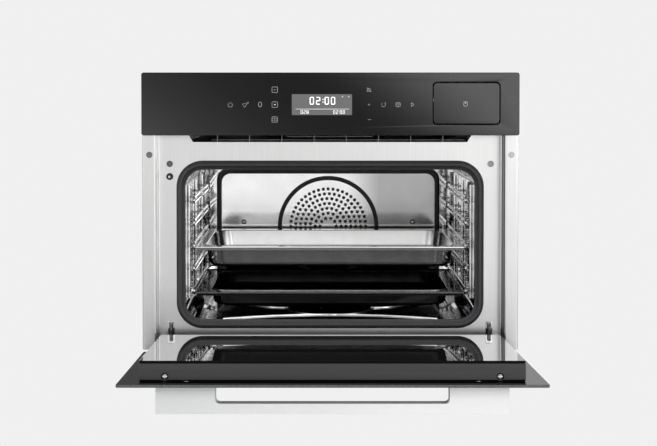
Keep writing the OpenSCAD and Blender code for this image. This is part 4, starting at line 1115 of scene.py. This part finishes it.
def shut_box(node):
    """Lowest and highest corner of a door node when the door is shut."""
    shut = [swing.inverted() @ v.co for v in frame["nodes"][node].data.vertices]
    return tuple(Vector([pick(v[i] for v in shut) for i in range(3)]) for pick in (min, max))


def on_door(name, pieces, paint, slot, *nodes, angle=35.0, rim=None):
    """Assembles a piece of the shut door, gives its edges the rim's material and swings it open."""
    piece = assemble(name, pieces, paint, slot, *nodes, body="door", angle=angle)
    if rim:
        second_finish(piece, rim, lambda face: abs(face.normal.y) < 0.5)
    piece.data.transform(swing)


edge_glass = shader("edge_glass", [200, (0.06, 0.065, 0.063), (0.10, 0.106, 0.103)], [500, 0.32, 0.5])
# Painted shade: near-black matt paint on the inner pane's edges and on the block under the trim face, for
# the shade in the gaps there
edge_shade_paint = shader("edge_shade_paint", (0.003, 0.003, 0.003), [500, 0.5, 0.7], Specular_IOR_Level=0.1)

OUTER = shut_box("outer_glass")
HANDLE_LOW, HANDLE_HIGH = shut_box("door_handle")
END_W = 82.5 * mm
handle_half = HANDLE_HIGH.x
handle_screw_x = handle_half - END_W / 2
handle_screw_z = HANDLE_LOW.z + 6 * mm
screw_holes = [loop_circle(2.8 * mm, s * handle_screw_x, handle_screw_z, 20) for s in SIDES]
pane = plate([loop_round(OUTER, GLASS_R)] + screw_holes, OUTER[0].y, OUTER[1].y, edge=0.4 * mm)
on_door("outer_pane", [pane], black_glass, "black_glass", "outer_glass", angle=20, rim=edge_glass)

dress(shader("clear_glass", (0.75, 0.80, 0.78), [20, 0.01, 0.03], Transmission_Weight=0.95, IOR=1.5),
      "middle_glass")

tinted_glass = shader("tinted_glass", (0.016, 0.016, 0.017), [12, 0.015, 0.03], IOR=1.9, Coat_Weight=1.0,
                      Coat_IOR=1.7)
INNER = shut_box("inner_glass")
# The inner pane's edges take the near-black painted shade
on_door("inner_pane", [plate([loop_round(INNER, 3 * mm, 0, 6)], INNER[0].y, INNER[1].y, "y", 0.4 * mm)],
        tinted_glass, "tinted_glass", "inner_glass", angle=20, rim=edge_shade_paint)

TRIM_LOW, TRIM_HIGH = TRIM = shut_box("door_top_trim")
REBATE = 2.4 * mm
TRIM_T = 1.2 * mm
TRIM_LAP = 0.1 * mm
trim_screw_x = TRIM_HIGH.x - 35.5 * mm
trim_screw_y = TRIM_LOW.y + 6.5 * mm
block_top = TRIM_HIGH.z - TRIM_T + TRIM_LAP
trim_grey = shader("trim_grey", [(3, 200, 200), (0.033, 0.033, 0.034), (0.040, 0.040, 0.041)],
                   [600, 0.34, 0.46], 0.0, [2500, 0.03 * mm, 0.3])
trim_seats = [loop_circle(5.2 * mm, s * trim_screw_x, trim_screw_y, 32) for s in SIDES]
trim_loop = loop_round((TRIM_LOW + Vector((0, REBATE, 0)), TRIM_HIGH), 1 * mm, 0, 4, "xy")
on_door("trim_face", [plate([trim_loop] + trim_seats, TRIM_HIGH.z - TRIM_T, TRIM_HIGH.z, "z", 0.4 * mm)],
        trim_grey, "dark_plastic", "door_top_trim")
# Painted shade: the block under the trim face is near black, for the shade in the band between the trim and
# the outer glass
on_door("trim_block", [plate([loop_round(TRIM, 1 * mm, -0.3 * mm, 4, "xy")], TRIM_LOW.z, block_top, "z")],
        edge_shade_paint, "dark_plastic")

# The trim's pan heads with a cross recess, and the screws that hold the handle through the glass
HEAD_R, HEAD_H = 4, 1.9
CROSS_L = 5 * mm
BOLT_R, BOLT_L = 2.3 * mm, 17 * mm
BOLT_HEAD_R, BOLT_HEAD_H = 4.8 * mm, 3 * mm
profile = [(0, 1), (0.3, 0.98), (0.6, 0.85), (0.85, 0.5), (1, 0.12), (1, 0), (0, 0)]
fixings = []
for s in SIDES:
    x = s * trim_screw_x
    head = lathe([(r * HEAD_R, h * HEAD_H) for r, h in profile], "z", (x, trim_screw_y, block_top), 32)
    for w, d in ((CROSS_L, 0.25 * CROSS_L), (0.25 * CROSS_L, CROSS_L)):
        recess = [loop_rect(w, d, 0.06 * CROSS_L, x, trim_screw_y, 2)]
        head = bored(head, plate(recess, block_top + 0.35 * HEAD_H * mm, block_top + 2 * HEAD_H * mm, "z",
                                 0.02 * mm))
    at = (s * handle_screw_x, handle_screw_z)
    fixings += [head, rod(BOLT_HEAD_R, OUTER[1].y, OUTER[1].y + BOLT_HEAD_H, "y", at, 32),
                rod(BOLT_R, OUTER[0].y - BOLT_L, OUTER[1].y, "y", at, 24)]
on_door("door_fixings", fixings, screw_steel, "zinc_sheet", "door_screws", angle=28)
dress(shader("hinge_steel", [250, 0.02, 0.40], [300, 0.25, 0.4], 1.0),
      "door_hinges", "hinge_claws", "hinge_receivers")

# --------------------
# Handle. One light anodised bar with a long finger opening behind the grip;
# its solid ends are screwed on through the outer glass.

handle_aluminium = shader("handle_aluminium", (0.86, 0.87, 0.88), [(10, 900, 900), 0.38, 0.48], 0.2,
                          [(12, 1500, 1500), 0.015 * mm, 0.4])
tree = handle_aluminium.node_tree
# Painted light: the bar is painted darker at the left and lighter at the right, as the light falls
along = calc(tree, "ADD", 0.57, calc(tree, "MULTIPLY", place(handle_aluminium)["X"], 1.3))
vary_colour(handle_aluminium, along, (0.69, 0.695, 0.70), (0.82, 0.82, 0.82))
INNER_R = 6 * mm
OUTER_R = 1.2 * mm
opening_half = handle_half - END_W
grip_rear = HANDLE_LOW.y + 14 * mm
plan = [(opening_half, HANDLE_HIGH.y), (handle_half, HANDLE_HIGH.y)]
plan += arc(handle_half - OUTER_R, HANDLE_LOW.y + OUTER_R, OUTER_R, 360, 270, 4)
plan += arc(OUTER_R - handle_half, HANDLE_LOW.y + OUTER_R, OUTER_R, 270, 180, 4)
plan += [(-handle_half, HANDLE_HIGH.y), (-opening_half, HANDLE_HIGH.y)]
plan += arc(INNER_R - opening_half, grip_rear + INNER_R, INNER_R, 180, 270, 8)
plan += arc(opening_half - INNER_R, grip_rear + INNER_R, INNER_R, 270, 360, 8)
on_door("grip", [plate([plan[::-1]], HANDLE_LOW.z, HANDLE_HIGH.z, "z")], handle_aluminium,
        "handle_aluminium", "door_handle", angle=30)

# Hinge plates: bright pressed surrounds of the hinge slots
bright_press = shader("bright_press", (0.85, 0.85, 0.85), [300, 0.06, 0.16], 1.0)
emboss(bright_press, grain(bright_press, 120, 1.0), 0.4 * mm, 0.15)
HINGE_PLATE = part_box("hinge_plates")
surrounds = [plate([loop_rect(11 * mm, 24 * mm, 2.5 * mm, s * hinge_x, HOOK_Z, 5),
                    loop_rect(5.2 * mm, 15.5 * mm, 1.5 * mm, s * hinge_x, HOOK_Z, 4)],
                   HINGE_PLATE[0].y, HINGE_PLATE[1].y, "y", 0.5 * mm) for s in SIDES]
assemble("hinge_surrounds", surrounds, bright_press, "steel_polished", "hinge_plates")
